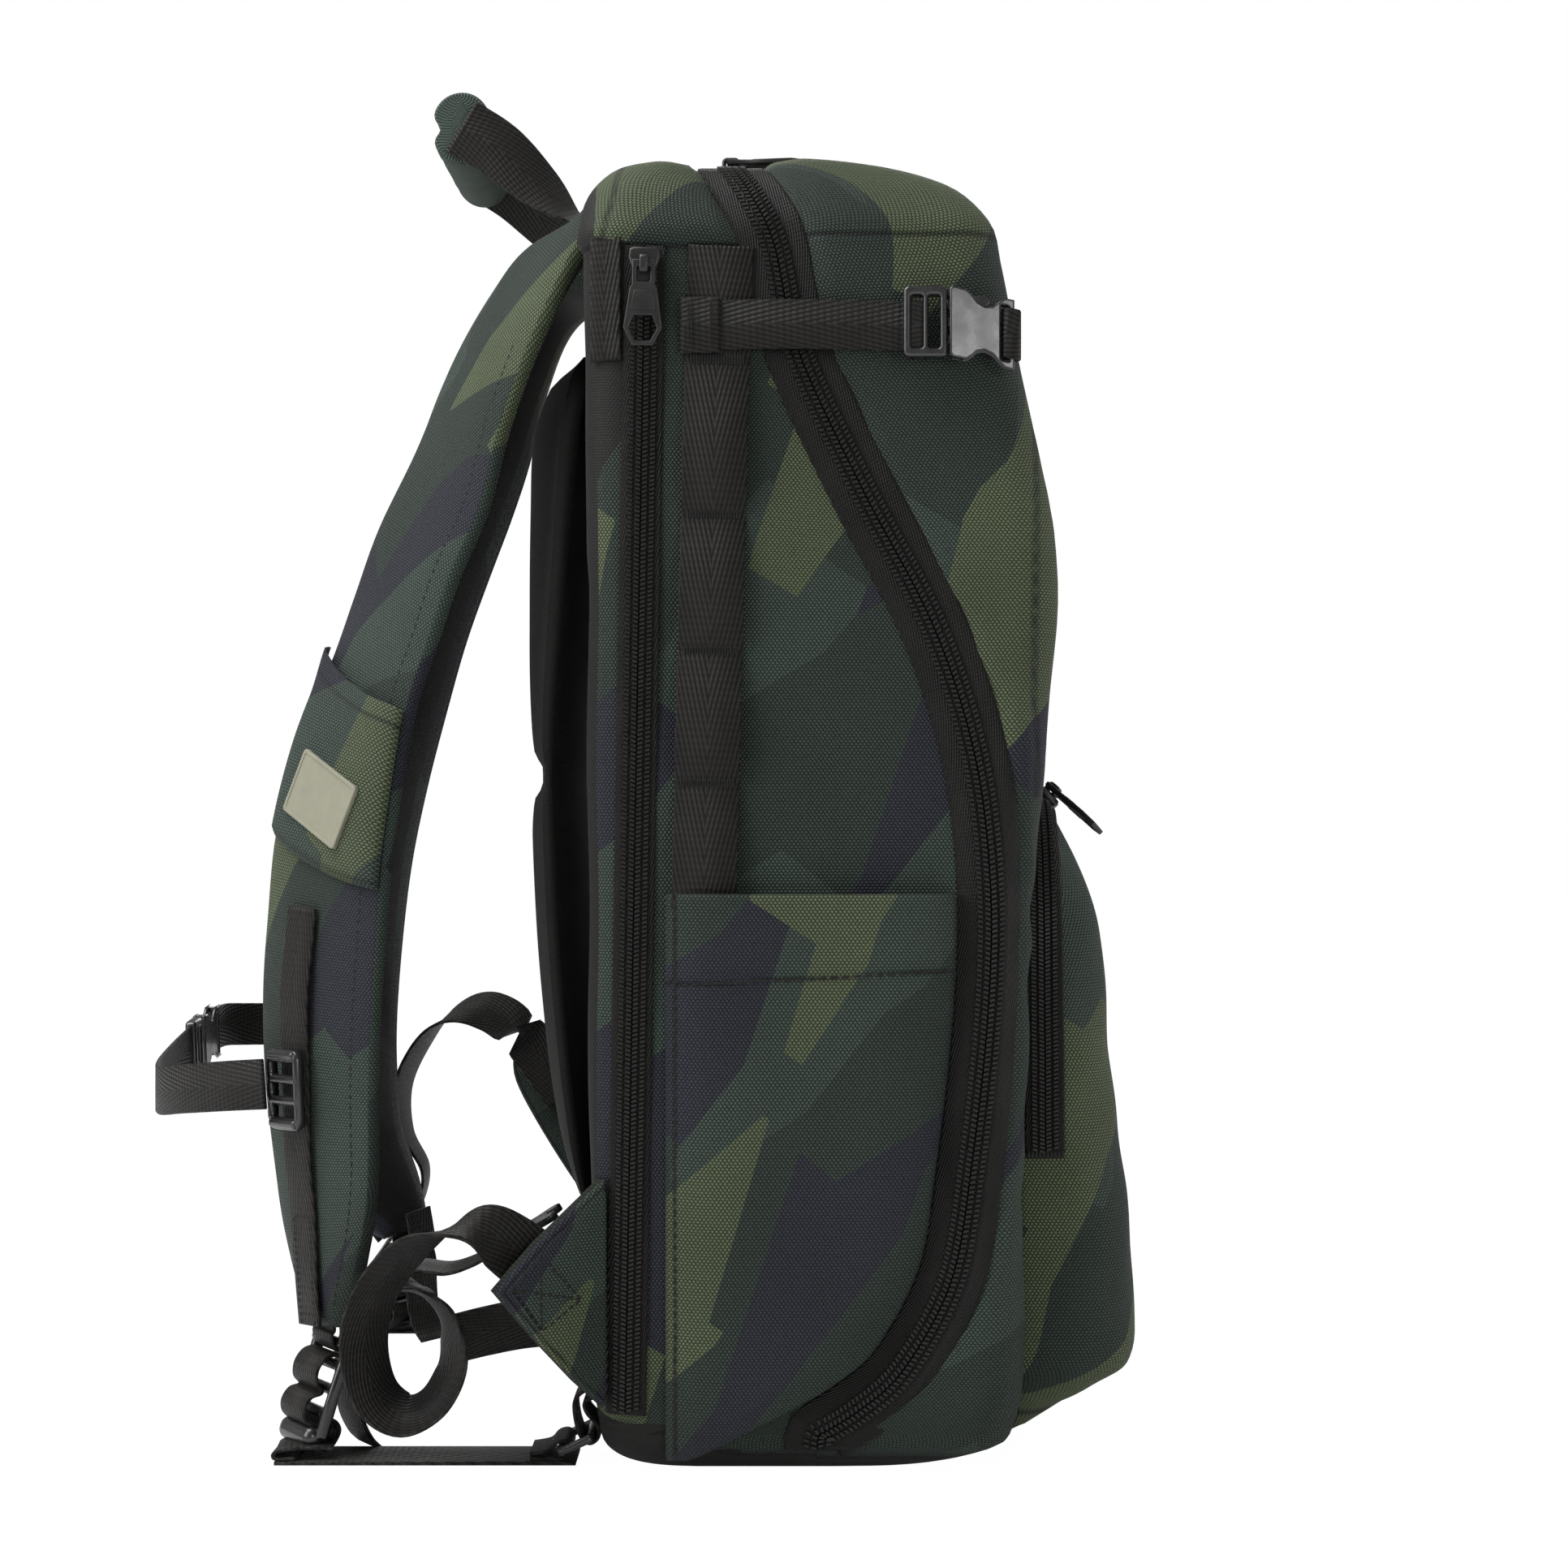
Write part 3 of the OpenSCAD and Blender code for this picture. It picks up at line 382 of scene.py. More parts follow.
def smooth_line(points, steps):
    """The same curve through points that the CAD model draws."""
    p = np.asarray(points, float)
    out = []
    for i in range(len(p) - 1):
        a, b, c, d = p[max(i - 1, 0)], p[i], p[i + 1], p[min(i + 2, len(p) - 1)]
        for k in range(steps):
            t = k / steps
            bend = (2 * a - 5 * b + 4 * c - d) * t**2 + (3 * b - a - 3 * c + d) * t**3
            out.append(0.5 * (2 * b + (c - a) * t + bend))
    return np.array(out + [p[-1]])


def tangents(line):
    ends = np.concatenate([line[:1], line, line[-1:]])
    return unit(ends[2:] - ends[:-2])


def lengths(line):
    return np.concatenate([[0], np.cumsum(np.linalg.norm(np.diff(line, axis=0), axis=1))])


def at_lengths(line, s, at):
    """Points of a line at given lengths, where s is the length of each of its points."""
    return np.stack([np.interp(at, s, line[:, k]) for k in range(line.shape[1])], axis=-1)


def spaced(line, count):
    """The line with evenly spaced points."""
    s = lengths(line)
    return at_lengths(line, s, np.linspace(0, s[-1], count))


def eased(knots, values, at):
    """A monotone curve through the knots, so that no row overshoots its neighbours."""
    h = np.diff(knots)
    d = np.diff(values) / h
    total = d[:-1] + d[1:]
    same = d[:-1] * d[1:] > 0
    slopes = np.where(same, 2 * d[:-1] * d[1:] / np.where(same, total, 1), 0)
    m = np.concatenate([d[:1], slopes, d[-1:]])
    i = np.clip(np.searchsorted(knots, at) - 1, 0, len(h) - 1)
    t = (at - knots[i]) / h[i]
    return (
        values[i] * (1 + 2 * t) * (1 - t) ** 2 + m[i] * h[i] * t * (1 - t) ** 2
        + values[i + 1] * t**2 * (3 - 2 * t) + m[i + 1] * h[i] * t**2 * (t - 1)
    )


def step(low, high, value):
    t = np.clip((np.asarray(value, float) - low) / (high - low), 0, 1)
    return t * t * (3 - 2 * t)


def grid_of(*parts):
    """Points or UV pairs from their parts, which are spread out to one shape."""
    return np.stack(np.broadcast_arrays(*parts), axis=-1)


# %% Meshes
def new_piece(name, points, faces, corner_uv=None):
    """A mesh object at the origin, from points in millimetres and a UV pair for each face corner."""
    mesh = bpy.data.meshes.new(name)
    mesh.from_pydata((np.asarray(points) * MM).tolist(), [], faces)
    if corner_uv is not None:
        layer = mesh.uv_layers.new(name="UVMap")
        layer.data.foreach_set("uv", (np.asarray(corner_uv, np.float32) * MM).ravel())
    mesh.polygons.foreach_set("use_smooth", [True] * len(mesh.polygons))
    obj = bpy.data.objects.new(name, mesh)
    scene.collection.objects.link(obj)
    return obj


def loft(name, grid, uv, closed=False, capped=False):
    """Quads over rows of points. A closed row joins its ends, and its UV has one more column."""
    rows, columns = grid.shape[:2]
    count = columns if closed else columns - 1
    faces, corners = [], []
    for i in range(rows - 1):
        for j in range(count):
            k = (j + 1) % columns
            low, high = i * columns, (i + 1) * columns
            faces.append((low + j, low + k, high + k, high + j))
            corners += [uv[i, j], uv[i, j + 1], uv[i + 1, j + 1], uv[i + 1, j]]
    if capped:
        faces.append(tuple(range(columns))[::-1])
        corners += [uv[0, j] for j in range(columns)][::-1]
        last = (rows - 1) * columns
        faces.append(tuple(range(last, last + columns)))
        corners += [uv[rows - 1, j] for j in range(columns)]
    return new_piece(name, grid.reshape(-1, 3), faces, corners)


def only(obj):
    """Selects one object and makes it active, for the operators that need it."""
    bpy.ops.object.select_all(action="DESELECT")
    obj.select_set(True)
    bpy.context.view_layer.objects.active = obj


def apply_modifier(obj, kind, **settings):
    modifier = obj.modifiers.new(kind.lower(), kind)
    for key, value in settings.items():
        setattr(modifier, key, value)
    only(obj)
    bpy.ops.object.modifier_apply(modifier=modifier.name)


def edit_all(obj, operator, **settings):
    """Runs one operator of edit mode on a whole mesh."""
    only(obj)
    bpy.ops.object.mode_set(mode="EDIT")
    bpy.ops.mesh.select_all(action="SELECT")
    operator(**settings)
    bpy.ops.object.mode_set(mode="OBJECT")


def face_outwards(obj):
    edit_all(obj, bpy.ops.mesh.normals_make_consistent, inside=False)


def weld(obj):
    """Closes poles and seams by merging points that meet."""
    edit_all(obj, bpy.ops.mesh.remove_doubles, threshold=0.02 * MM)


def join(name, pieces):
    """Several meshes as one object, with all their materials."""
    bpy.ops.object.select_all(action="DESELECT")
    for piece in pieces:
        piece.select_set(True)
    bpy.context.view_layer.objects.active = pieces[0]
    bpy.ops.object.join()
    pieces[0].name = pieces[0].data.name = name
    return pieces[0]


def to_side(side, *pieces):
    """Takes pieces that were made for the left over to the right side, if they belong there."""
    if side == "right":
        for piece in pieces:
            piece.data.transform(Matrix.Scale(-1, 4, (0, 1, 0)))
            piece.data.flip_normals()


def mirrored(obj):
    """A copy on the right side of the bag, named after that side."""
    twin = bpy.data.objects.new(obj.name.replace("left", "right"), obj.data.copy())
    scene.collection.objects.link(twin)
    to_side("right", twin)
    return twin


def settle(obj, body, material, *stands_for, slot=None):
    """Gives a piece its finish and its body, or bakes it in place when two bodies are given, and hides its
    CAD nodes. The slot is not used.
    """
    if not obj.data.materials:
        obj.data.materials.append(material)
    if isinstance(body, str):
        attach(obj, body)
    else:
        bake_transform(obj)
    if stands_for:
        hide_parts(*stands_for)
    obj.select_set(False)


def settle_pair(obj, body, material, *stands_for, slot=None):
    """Settles a left piece and its mirrored twin, on a body and for nodes named after each side."""
    nodes = [node.replace("left", "right") for node in stands_for]
    settle(mirrored(obj), body.replace("left", "right"), material, *nodes, slot=slot)
    settle(obj, body, material, *stands_for, slot=slot)


def lined(obj, thick, **settings):
    """Gives camouflage cloth its thickness and a black inner face."""
    obj.data.materials.append(camo_cloth)
    obj.data.materials.append(black_cloth)
    apply_modifier(obj, "SOLIDIFY", thickness=thick * MM, offset=-1, material_offset=1, **settings)


def points_of(obj):
    flat = np.empty(len(obj.data.vertices) * 3)
    obj.data.vertices.foreach_get("co", flat)
    return flat.reshape(-1, 3) / MM


def move_points(obj, points):
    obj.data.vertices.foreach_set("co", (points * MM).ravel())
    obj.data.update()


def grid_normals(grid):
    """Outward normals of a lofted grid, for rows that run upwards and columns to the right."""
    down = np.gradient(grid, axis=0)
    right = np.gradient(grid, axis=1)
    return unit(np.cross(right, down))


def ripple(points, size, seed):
    """A soft wandering height from -1 to 1, from a few crossed waves."""
    p = np.asarray(points, float) / size
    x, y, z = p[..., 0] + seed, p[..., 1] - 0.7 * seed, p[..., 2] + 0.4 * seed
    first = np.sin(1.9 * x + 1.3 * z + np.sin(1.1 * y + 0.7 * z))
    second = np.sin(2.3 * y - 1.7 * z + np.sin(1.6 * x - 0.9 * y))
    return 0.5 * (first + second)


def ribbon(name, mid, across, wide, thick=1.5):
    """Flat webbing with soft edges along a line, with UV across from its middle and along its length."""
    across = np.broadcast_to(np.asarray(across, float), mid.shape)
    t = tangents(mid)
    w = unit(across - np.sum(across * t, axis=1, keepdims=True) * t)
    n = np.cross(t, w)
    half, edge = wide / 2, thick / 2
    section = [(half - 0.5, edge), (half, edge * 0.4), (half, -edge * 0.4), (half - 0.5, -edge)]
    section += [(0, -edge * 1.05)] + [(-x, y) for x, y in section[::-1]] + [(0, edge * 1.05)]
    grid = np.stack([mid + x * w + y * n for x, y in section], axis=1)
    u = np.array([x for x, _ in section] + [section[0][0]])
    piece = loft(name, grid, grid_of(u, lengths(mid)[:, None]), closed=True, capped=True)
    face_outwards(piece)
    return piece


def stitches(name, line, out, length=3.0, gap=1.3, wide=0.55, high=0.5):
    """Sewing thread along a line: short rounded bars, each a few faces, standing on the cloth."""
    s = lengths(line)
    count = max(int(s[-1] / (length + gap)), 1)
    points, faces = [], []
    out = unit(np.broadcast_to(np.asarray(out, float), line.shape))
    for k in range(count):
        ends = (k + 0.5) * s[-1] / count + np.array([-length / 2, length / 2])
        a, b = at_lengths(line, s, ends)
        n = unit(at_lengths(out, s, ends[0]))
        t = unit(b - a)
        w = np.cross(n, t) * wide
        base = len(points)
        for p, rise in ((a, 0.0), (a + 0.25 * (b - a), high), (b - 0.25 * (b - a), high), (b, 0.0)):
            points += [p - w, p + n * rise, p + w]
        for r in range(3):
            i = base + 3 * r
            faces += [(i, i + 1, i + 4, i + 3), (i + 1, i + 2, i + 5, i + 4)]
    piece = new_piece(name, points, faces)
    face_outwards(piece)
    return piece


def plate(name, outlines, thick, rounding, place):
    """A flat part from closed outlines in x and y, the first one outside and the others holes."""
    curve = bpy.data.curves.new(name, "CURVE")
    curve.dimensions = "2D"
    curve.fill_mode = "BOTH"
    curve.extrude = (thick / 2 - rounding) * MM
    curve.bevel_depth = rounding * MM
    curve.bevel_resolution = 2
    curve.offset = -rounding * MM
    for outline in outlines:
        spline = curve.splines.new("POLY")
        spline.points.add(len(outline) - 1)
        for point, (x, y) in zip(spline.points, outline):
            point.co = (x * MM, y * MM, 0, 1)
        spline.use_cyclic_u = True
    obj = bpy.data.objects.new(name, curve)
    scene.collection.objects.link(obj)
    only(obj)
    bpy.ops.object.convert(target="MESH")
    obj = bpy.context.object
    obj.data.transform(place)
    bpy.ops.object.shade_smooth_by_angle(angle=math.radians(40))
    return obj


def frame_at(origin, x_way, z_way):
    """A placing matrix in metres, from an origin in millimetres and two directions."""
    z = unit(z_way)
    x = unit(np.asarray(x_way, float) - np.dot(x_way, z) * z)
    rows = np.column_stack([x, np.cross(z, x), z, np.asarray(origin, float) * MM])
    return Matrix((*rows.tolist(), (0, 0, 0, 1)))


def turned(degrees, axis):
    return Matrix.Rotation(math.radians(degrees), 4, axis)


def moved(x, y, z):
    return Matrix.Translation((x * MM, y * MM, z * MM))


def rounded(x0, x1, y0, y1, r):
    """A rectangle with round corners, as an outline."""
    steps = 4
    out = []
    centres = ((x1 - r, y1 - r), (x0 + r, y1 - r), (x0 + r, y0 + r), (x1 - r, y0 + r))
    for corner, (x, y) in enumerate(centres):
        for k in range(steps + 1):
            a = math.radians(90 * corner + 90 * k / steps)
            out.append((x + r * math.cos(a), y + r * math.sin(a)))
    return out


print("helpers ready")

# %% [markdown]
# ## The bag's two halves
# The bag is a clamshell: one shell carries the harness and the laptop compartment, and the other is
# the front lid. Both are lofted through the CAD model's outlines, cut where the main zip crosses each
# row, so their edges meet along the zip. The rows are denser than in the CAD model and follow an eased
# curve. Small heights are then added along the normals: the hood that overlaps the sides, the
# filling's bulge, and wrinkles where the cloth is gathered into the zip.

# %% Outlines of the bag
HALF_W = 150
HINGE_X = 8
ZIP_FOOT = 16
BAG_TOP = 512
CROWN = 2.5
HOOD_FOOT = 474
MAIN_TAPE = 13
BAG_ROWS = np.array([
    [0, -62, 40, 16, 24], [2, -68, 58, 10, 22], [6, -73, 74, 5, 20], [12, -76, 84, 2, 17],
    [30, -78, 86, 0, 15], [120, -80, 87, 0, 15], [225, -81, 90, 0, 15], [265, -81, 94, 0, 15],
    [300, -81, 97, 0, 15], [340, -81, 100, 0, 15], [360, -82, 99, 0, 15], [395, -82, 93, 0, 15],
    [425, -82, 87, 0, 15], [465, -83, 79, 0, 16], [480, -83, 75, 1, 17], [491, -82, 69, 5, 20],
    [500, -79, 60, 11, 23], [507, -72, 44, 20, 26], [512, -55, 14, 38, 24],
], float)
ZIP_LINE = smooth_line([
    (-27, 540), (-26, 512), (-17, 494), (-8, 474), (1, 434), (26, 380), (53, 328), (69, 278),
    (75, 228), (74, 178), (68, 122), (60, 76), (41, 41), (23, 25), (8, 16),
], 8)


def zip_x(z):
    """Where the main zip crosses a height. Below its foot, the halves meet at the hinge."""
    return np.where(np.asarray(z) < ZIP_FOOT, HINGE_X, np.interp(z, ZIP_LINE[::-1, 1], ZIP_LINE[::-1, 0]))


def side_y(x, z):
    """How far the bag's side stands out at a place seen from the side."""
    rows = [eased(BAG_ROWS[:, 0], BAG_ROWS[:, k], np.asarray(z, float)) for k in range(1, 5)]
    back, front, inset, r = rows
    over = np.maximum(np.maximum(x - (front - r), (back + r) - x), 0)
    return HALF_W - inset - r + np.sqrt(np.maximum(r**2 - over**2, 0))


def left_outline(row):
    """From the middle of the front round the left side to the middle of the back."""
    _, back, front, inset, r = row
    y = HALF_W - inset
    a = np.radians(np.linspace(0, 90, 14))
    ahead = np.stack([front - r + r * np.cos(a), r - y - r * np.sin(a)], axis=1)
    behind = np.stack([back + r - r * np.sin(a), r - y - r * np.cos(a)], axis=1)
    return np.concatenate([[(front, 0)], ahead, behind, [(back, 0)]])


def cut(line, x):
    """The two parts of an outline, before and after it passes an x."""
    k = int(np.argmax(line[:, 0] < x))
    t = (x - line[k - 1, 0]) / (line[k, 0] - line[k - 1, 0])
    p = line[k - 1] + t * (line[k] - line[k - 1])
    return np.vstack([line[:k], p]), np.vstack([p, line[k:]])


def shell_rows(count, cap):
    """Rows up the profile, with rows that close the base and the top: row, share of its size, height."""
    sideways = np.max(np.abs(np.diff(BAG_ROWS[:, 1:4], axis=0)), axis=1)
    s = np.concatenate([[0], np.cumsum(np.hypot(np.diff(BAG_ROWS[:, 0]), sideways))])
    at = np.linspace(0, s[-1], count)
    rows = np.stack([eased(s, BAG_ROWS[:, k], at) for k in range(5)], axis=1)
    shares = np.linspace(0, 1, cap + 1)[:-1]
    out = [(rows[0], k, 0.0) for k in shares]
    out += [(row, 1.0, row[0]) for row in rows]
    out += [(rows[-1], k, BAG_TOP + CROWN * (1 - k**2)) for k in shares[::-1]]
    return out


def shell_grid(part, columns, gap):
    """The points and UV of one half: part 0 is the lid, and part 1 the half with the harness."""
    grid, around = [], []
    for row, share, z in shell_rows(150, 12):
        x = float(zip_x(z if share == 1 else row[0]))
        half = cut(left_outline(row), x)[part]
        path = spaced(half[::-1] if part == 0 else half, columns + 1)
        aside = gap * (1 if part == 0 else -1) * np.linspace(1, 0, columns + 1) ** 8
        path[:, 0] += (z > ZIP_FOOT) * aside
        s = lengths(path)
        path = np.array([x, 0]) + share * (path - [x, 0])
        s = (s - s[-1]) * share
        ring = np.concatenate([path, (path * [1, -1])[-2::-1]])
        u = np.concatenate([s, -s[-2::-1]])
        if part == 1:
            ring, u = ring[::-1], -u[::-1]
        grid.append(grid_of(ring[:, 0], ring[:, 1], z))
        around.append(u)
    grid = np.array(grid)
    climb = np.cumsum(np.linalg.norm(np.diff(grid, axis=0), axis=2), axis=0)
    climb = np.vstack([np.zeros(grid.shape[1]), climb])
    return grid, np.dstack([np.array(around), climb - climb[len(climb) // 2]])


def mark(obj, **values):
    """Stores numbers on the points for the finish: trim is black above zero, and seam is 4 on a seam, where
    the finish cuts a groove and paints shade into it.
    """
    for name, numbers in values.items():
        layer = obj.data.attributes.new(name, "FLOAT", "POINT")
        layer.data.foreach_set("value", np.asarray(numbers, np.float32).ravel())


def near(distance):
    """How close a place is to a seam: 4 on it, and 0 from 4 mm away."""
    return np.clip(4 - np.abs(distance), 0, 4)


# %% The half with the harness
SHELL_GAP = 0.4
back_grid, back_uv = shell_grid(1, 84, SHELL_GAP)
out = grid_normals(back_grid)
x, y, z = np.moveaxis(back_grid, 2, 0)
to_zip = zip_x(z) - x
side = step(118, 146, np.abs(y))
belly = np.clip((x + 50) / np.maximum(zip_x(z) - MAIN_TAPE + 50, 20), 0, 1)
height = 2.4 * side * np.sin(math.pi * belly) * step(8, 60, z) * (1 - step(440, HOOD_FOOT, z))
hood = step(HOOD_FOOT + 0.4, HOOD_FOOT + 2, z) * step(14, 17, to_zip)
height += 2.3 * hood
creased = np.where(hood > 0.5, ripple(back_grid, 26, 2.0) * 1.1, ripple(back_grid, 34, 0.4) * 0.6)
height += creased * step(13, 24, to_zip) * step(4, 20, z)
height += 1.6 * step(488, 500, z) * step(16, 30, to_zip) * step(-80, -66, x)
back_grid = back_grid + out * height[..., None]
main_shell = loft("bag_back_half", back_grid, back_uv)
gusset = np.minimum(-62 - x, z - (405 - 1.55 * (-64 - x)))
base_edge = 8 + 13 * step(-20, -74, x) - z
back_wall = (-76.5 - x) * step(20, 40, z)
trim = np.maximum(np.maximum(np.where(z < HOOD_FOOT + 0.5, gusset, -5), base_edge), back_wall)
hood_edge = near((z - HOOD_FOOT) * 1.2)
rear_seam = near(x + 73 - (z - 480) * 0.25) * (z > 477)
mark(main_shell, trim=trim, seam=np.maximum(np.maximum(hood_edge, rear_seam), near(base_edge)))
weld(main_shell)
print("back half:", len(main_shell.data.polygons), "faces")

# %% The lid
lid_grid, lid_uv = shell_grid(0, 64, SHELL_GAP)
out = grid_normals(lid_grid)
x, y, z = np.moveaxis(lid_grid, 2, 0)
width = np.linalg.norm(np.diff(lid_grid, axis=1), axis=2)
run = np.concatenate([np.zeros((len(width), 1)), np.cumsum(width, axis=1)], axis=1)
to_zip = np.minimum(run, run[:, -1:] - run)
height = 2.6 * step(12, 17, to_zip) * step(10, 30, z)
gathers = np.sin(z / 6.1 + 1.2 * np.sin(z / 17)) * np.exp(-(((to_zip - 19) / 9) ** 2))
height += 0.7 * gathers * step(20, 60, z)
height += ripple(lid_grid, 30, 5.0) * 0.9 * step(14, 30, to_zip) * step(10, 30, z)
height += 1.5 * step(470, 484, z) * step(14, 30, to_zip)
lid_grid = lid_grid + out * height[..., None]
front_lid = loft("bag_front_half", lid_grid, lid_uv)
top_seam = near((z - 478) * 1.1)
corner_seam = near(x - 91) * (np.abs(y) > 120) * (z > 262) * (z < 425)
trim = 7 - z
mark(front_lid, trim=trim, seam=np.maximum(np.maximum(top_seam, corner_seam), near(trim)))
weld(front_lid)
for shell, body, node in ((main_shell, "pack", "main_shell"), (front_lid, "lid", "front_lid")):
    lined(shell, 3.6, material_offset_rim=1)
    settle(shell, body, camo_cloth, node)
print("lid:", len(front_lid.data.polygons), "faces")

# %% [markdown]
# ## Zips
# A coil zip is two woven tapes, each with a spiral of plastic sewn along its edge. The tape could be
# painted on the shell, but the coil catches light as a row of small bars, so every turn is modelled:
# two low blocks with the sewing groove between them. The halves follow the shells that carry them.

# %% Tape and coil along a path
TAPE_LIFT = 1.2


def on_skin(points):
    """Lays points that are beside the bag's sides on them."""
    p = np.array(points, float)
    flat = p[:, 2] < 478
    p[flat, 1] = np.sign(p[flat, 1]) * side_y(p[flat, 0], p[flat, 2])
    return p


def tape_strip(name, path, out, aside, near_edge, far_edge, on=lambda p: p):
    """One half of a tape: a woven strip between two distances from the zip's middle."""
    shares = (0, 0.02, 0.3, 0.5, 0.9, 0.99, 1)
    heights = np.array([0.2, 1, 1, 1, 1, 0.75, 0]) * TAPE_LIFT
    reach = [near_edge + share * (far_edge - near_edge) for share in shares]
    grid = np.stack([on(path + d * aside) + h * out for d, h in zip(reach, heights)], axis=1)
    strip = loft(name, grid, grid_of(np.array(reach) - 20, lengths(path)[:, None]))
    face_outwards(strip)
    return strip


def coil(name, path, out, aside, sides, pitch, on=lambda p: p):
    """The turns of a coil on one or both tapes: two blocks a turn, with a groove where it is sewn."""
    s = lengths(path)
    points, faces = [], []
    for side in sides:
        at = np.arange(pitch * (0.5 if side > 0 else 1.0), s[-1] - pitch, pitch)
        p, n, m = (at_lengths(line, s, at) for line in (path, out, aside))
        n, m = unit(n), unit(m)
        t = np.cross(m, n)
        for low, high in ((0.1, 2.5), (3.1, 5.4)):
            rings = []
            for rise, slim in ((TAPE_LIFT - 0.1, 0.72), (TAPE_LIFT + 0.75, 0.45)):
                for d, w in ((low, -slim), (high, -slim), (high, slim), (low, slim)):
                    d_in = d + (0.25 if d == low else -0.25) * (rise > TAPE_LIFT)
                    place = on(p + side * d_in * m + (w + 0.28 * d_in) * t)
                    rings.append(place + rise * n)
            base = len(points)
            points.extend(np.stack(rings, axis=1).reshape(-1, 3))
            for k in range(len(at)):
                i = base + 8 * k
                faces += [(i + 4, i + 5, i + 6, i + 7)]
                faces += [(i + a, i + (a + 1) % 4, i + 4 + (a + 1) % 4, i + 4 + a) for a in range(4)]
    piece = new_piece(name, points, faces)
    face_outwards(piece)
    piece.data.polygons.foreach_set("use_smooth", [False] * len(piece.data.polygons))
    return piece


# %% The main zip
edge = back_grid[:, -1] + [SHELL_GAP, 0, 0]
edge_out = grid_normals(back_grid)[:, -1]
keep = edge[:, 2] > 9
path_left, out_left = edge[keep], unit(edge_out[keep])
flip = np.array([1, -1, 1])
zip_path = np.concatenate([path_left, (path_left * flip)[-2::-1]])
zip_out = np.concatenate([out_left, (out_left * flip)[-2::-1]])
FINE = 420
fine = spaced(zip_path, FINE)
s = lengths(zip_path) / lengths(zip_path)[-1]
fine_out = unit(at_lengths(zip_out, s, np.linspace(0, 1, FINE)))
fine_side = unit(np.cross(fine_out, tangents(fine)))
for part, body, sign in (("back", "pack", 1), ("front", "lid", -1)):
    node = "main_zip_tape_" + part
    strip = tape_strip(node + "_cloth", fine, fine_out, fine_side, 0.1 * sign, MAIN_TAPE * sign, on_skin)
    settle(strip, body, zip_tape, node)
    turns = coil("main_zip_coil_" + part, fine, fine_out, fine_side, [sign], 1.9, on_skin)
    settle(turns, body, coil_plastic, slot="zip_tape")
print("main zip:", round(lengths(fine)[-1]), "mm of coil")

# %% The laptop zip, in the left side only
LAPTOP_FOOT, LAPTOP_TOP = np.array([-65.5, 24.0]), np.array([-57.86, 474.4])
line = np.linspace(LAPTOP_FOOT, LAPTOP_TOP, 120)
path = on_skin(grid_of(line[:, 0], -1.0, line[:, 1]))
out = np.broadcast_to([0, -1.0, 0], path.shape)
aside = np.broadcast_to(unit(np.cross(out[0], path[-1] - path[0])), path.shape)
tapes = [tape_strip("laptop_tape", path, out, aside, 0.1 * k, 8 * k, on_skin) for k in (1, -1)]
settle(join("laptop_zip_tapes", tapes), "pack", zip_tape, "laptop_zip_tape")
turns = coil("laptop_zip_coil", path, out, aside, [1, -1], 1.7, on_skin)
settle(turns, "pack", coil_plastic, slot="zip_tape")
print("laptop zip:", round(lengths(path)[-1]), "mm")

# %% [markdown]
# ## Pockets
# Each side pocket is one panel sewn down along three edges, with a wide hem at its mouth. It stands
# off the side and ends against the zip. The front pocket is a bellows on the lid, closed by a zip over
# its top. Both are lofted from the CAD model's outlines. The filling's bulge is a rounded rise from
# every sewn edge.

# %% Places on a lofted grid
def sample(grid, rows, columns):
    """Points of a grid at fractional rows and columns."""
    rows = np.clip(np.asarray(rows, float), 0, grid.shape[0] - 1.001)
    columns = np.clip(np.asarray(columns, float), 0, grid.shape[1] - 1.001)
    i, j = rows.astype(int), columns.astype(int)
    a, b = (rows - i)[..., None], (columns - j)[..., None]
    low = grid[i, j] * (1 - b) + grid[i, j + 1] * b
    high = grid[i + 1, j] * (1 - b) + grid[i + 1, j + 1] * b
    return low * (1 - a) + high * a


def dome(distance, width):
    """A rise from a sewn edge: 0 on it, and 1 from a distance away."""
    t = np.clip(distance / width, 0, 1)
    return np.sqrt(1 - (1 - t) ** 2)


# %% Side pockets
POCKET_FOOT, POCKET_TOP, POCKET_LEFT = 5, 225, -50
HEM_FOOT, HEM_CLIMB = 190, 6
ROWS, COLUMNS = 90, 60
along_zip = tangents(ZIP_LINE)
beside_zip = ZIP_LINE - (MAIN_TAPE + 0.6) * np.column_stack([-along_zip[:, 1], along_zip[:, 0]])
edge_x = np.concatenate([[-42], beside_zip[::-1, 0]])
edge_z = np.concatenate([[POCKET_FOOT], beside_zip[::-1, 1]])
zs = np.linspace(POCKET_FOOT, POCKET_TOP, ROWS)
right = np.interp(zs, edge_z, edge_x)[:, None]
share = np.linspace(0, 1, COLUMNS)[None, :]
x = POCKET_LEFT + share * (right - POCKET_LEFT)
z = np.tile(zs[:, None], (1, COLUMNS))
from_edges = np.minimum(np.minimum(x - POCKET_LEFT, right - x), (z - POCKET_FOOT) * 0.8)
rise = 1.6 + 10.2 * dome(from_edges, 26)
gathered = step(0.55, 0.95, share) * (z < 185)
rise += 1.3 * gathered * np.sin(z / 11 + 3 * share) * dome(from_edges, 20)
rise += 0.8 * ripple(grid_of(x, 0, z), 24, 1.3) * dome(from_edges, 20)
rise += 0.7 * step(HEM_FOOT, HEM_FOOT + 3, z - HEM_CLIMB * share)
pocket_grid = grid_of(x, -side_y(x, z) - rise, z)
side_pocket = loft("side_pocket_left_cloth", pocket_grid, grid_of(x + 310, z + 90))
hem_line = z - HEM_CLIMB * share - HEM_FOOT
mark(side_pocket, seam=np.maximum(near(hem_line * 1.2), near((x + 46) * 1.3)))
lined(side_pocket, 1.8)
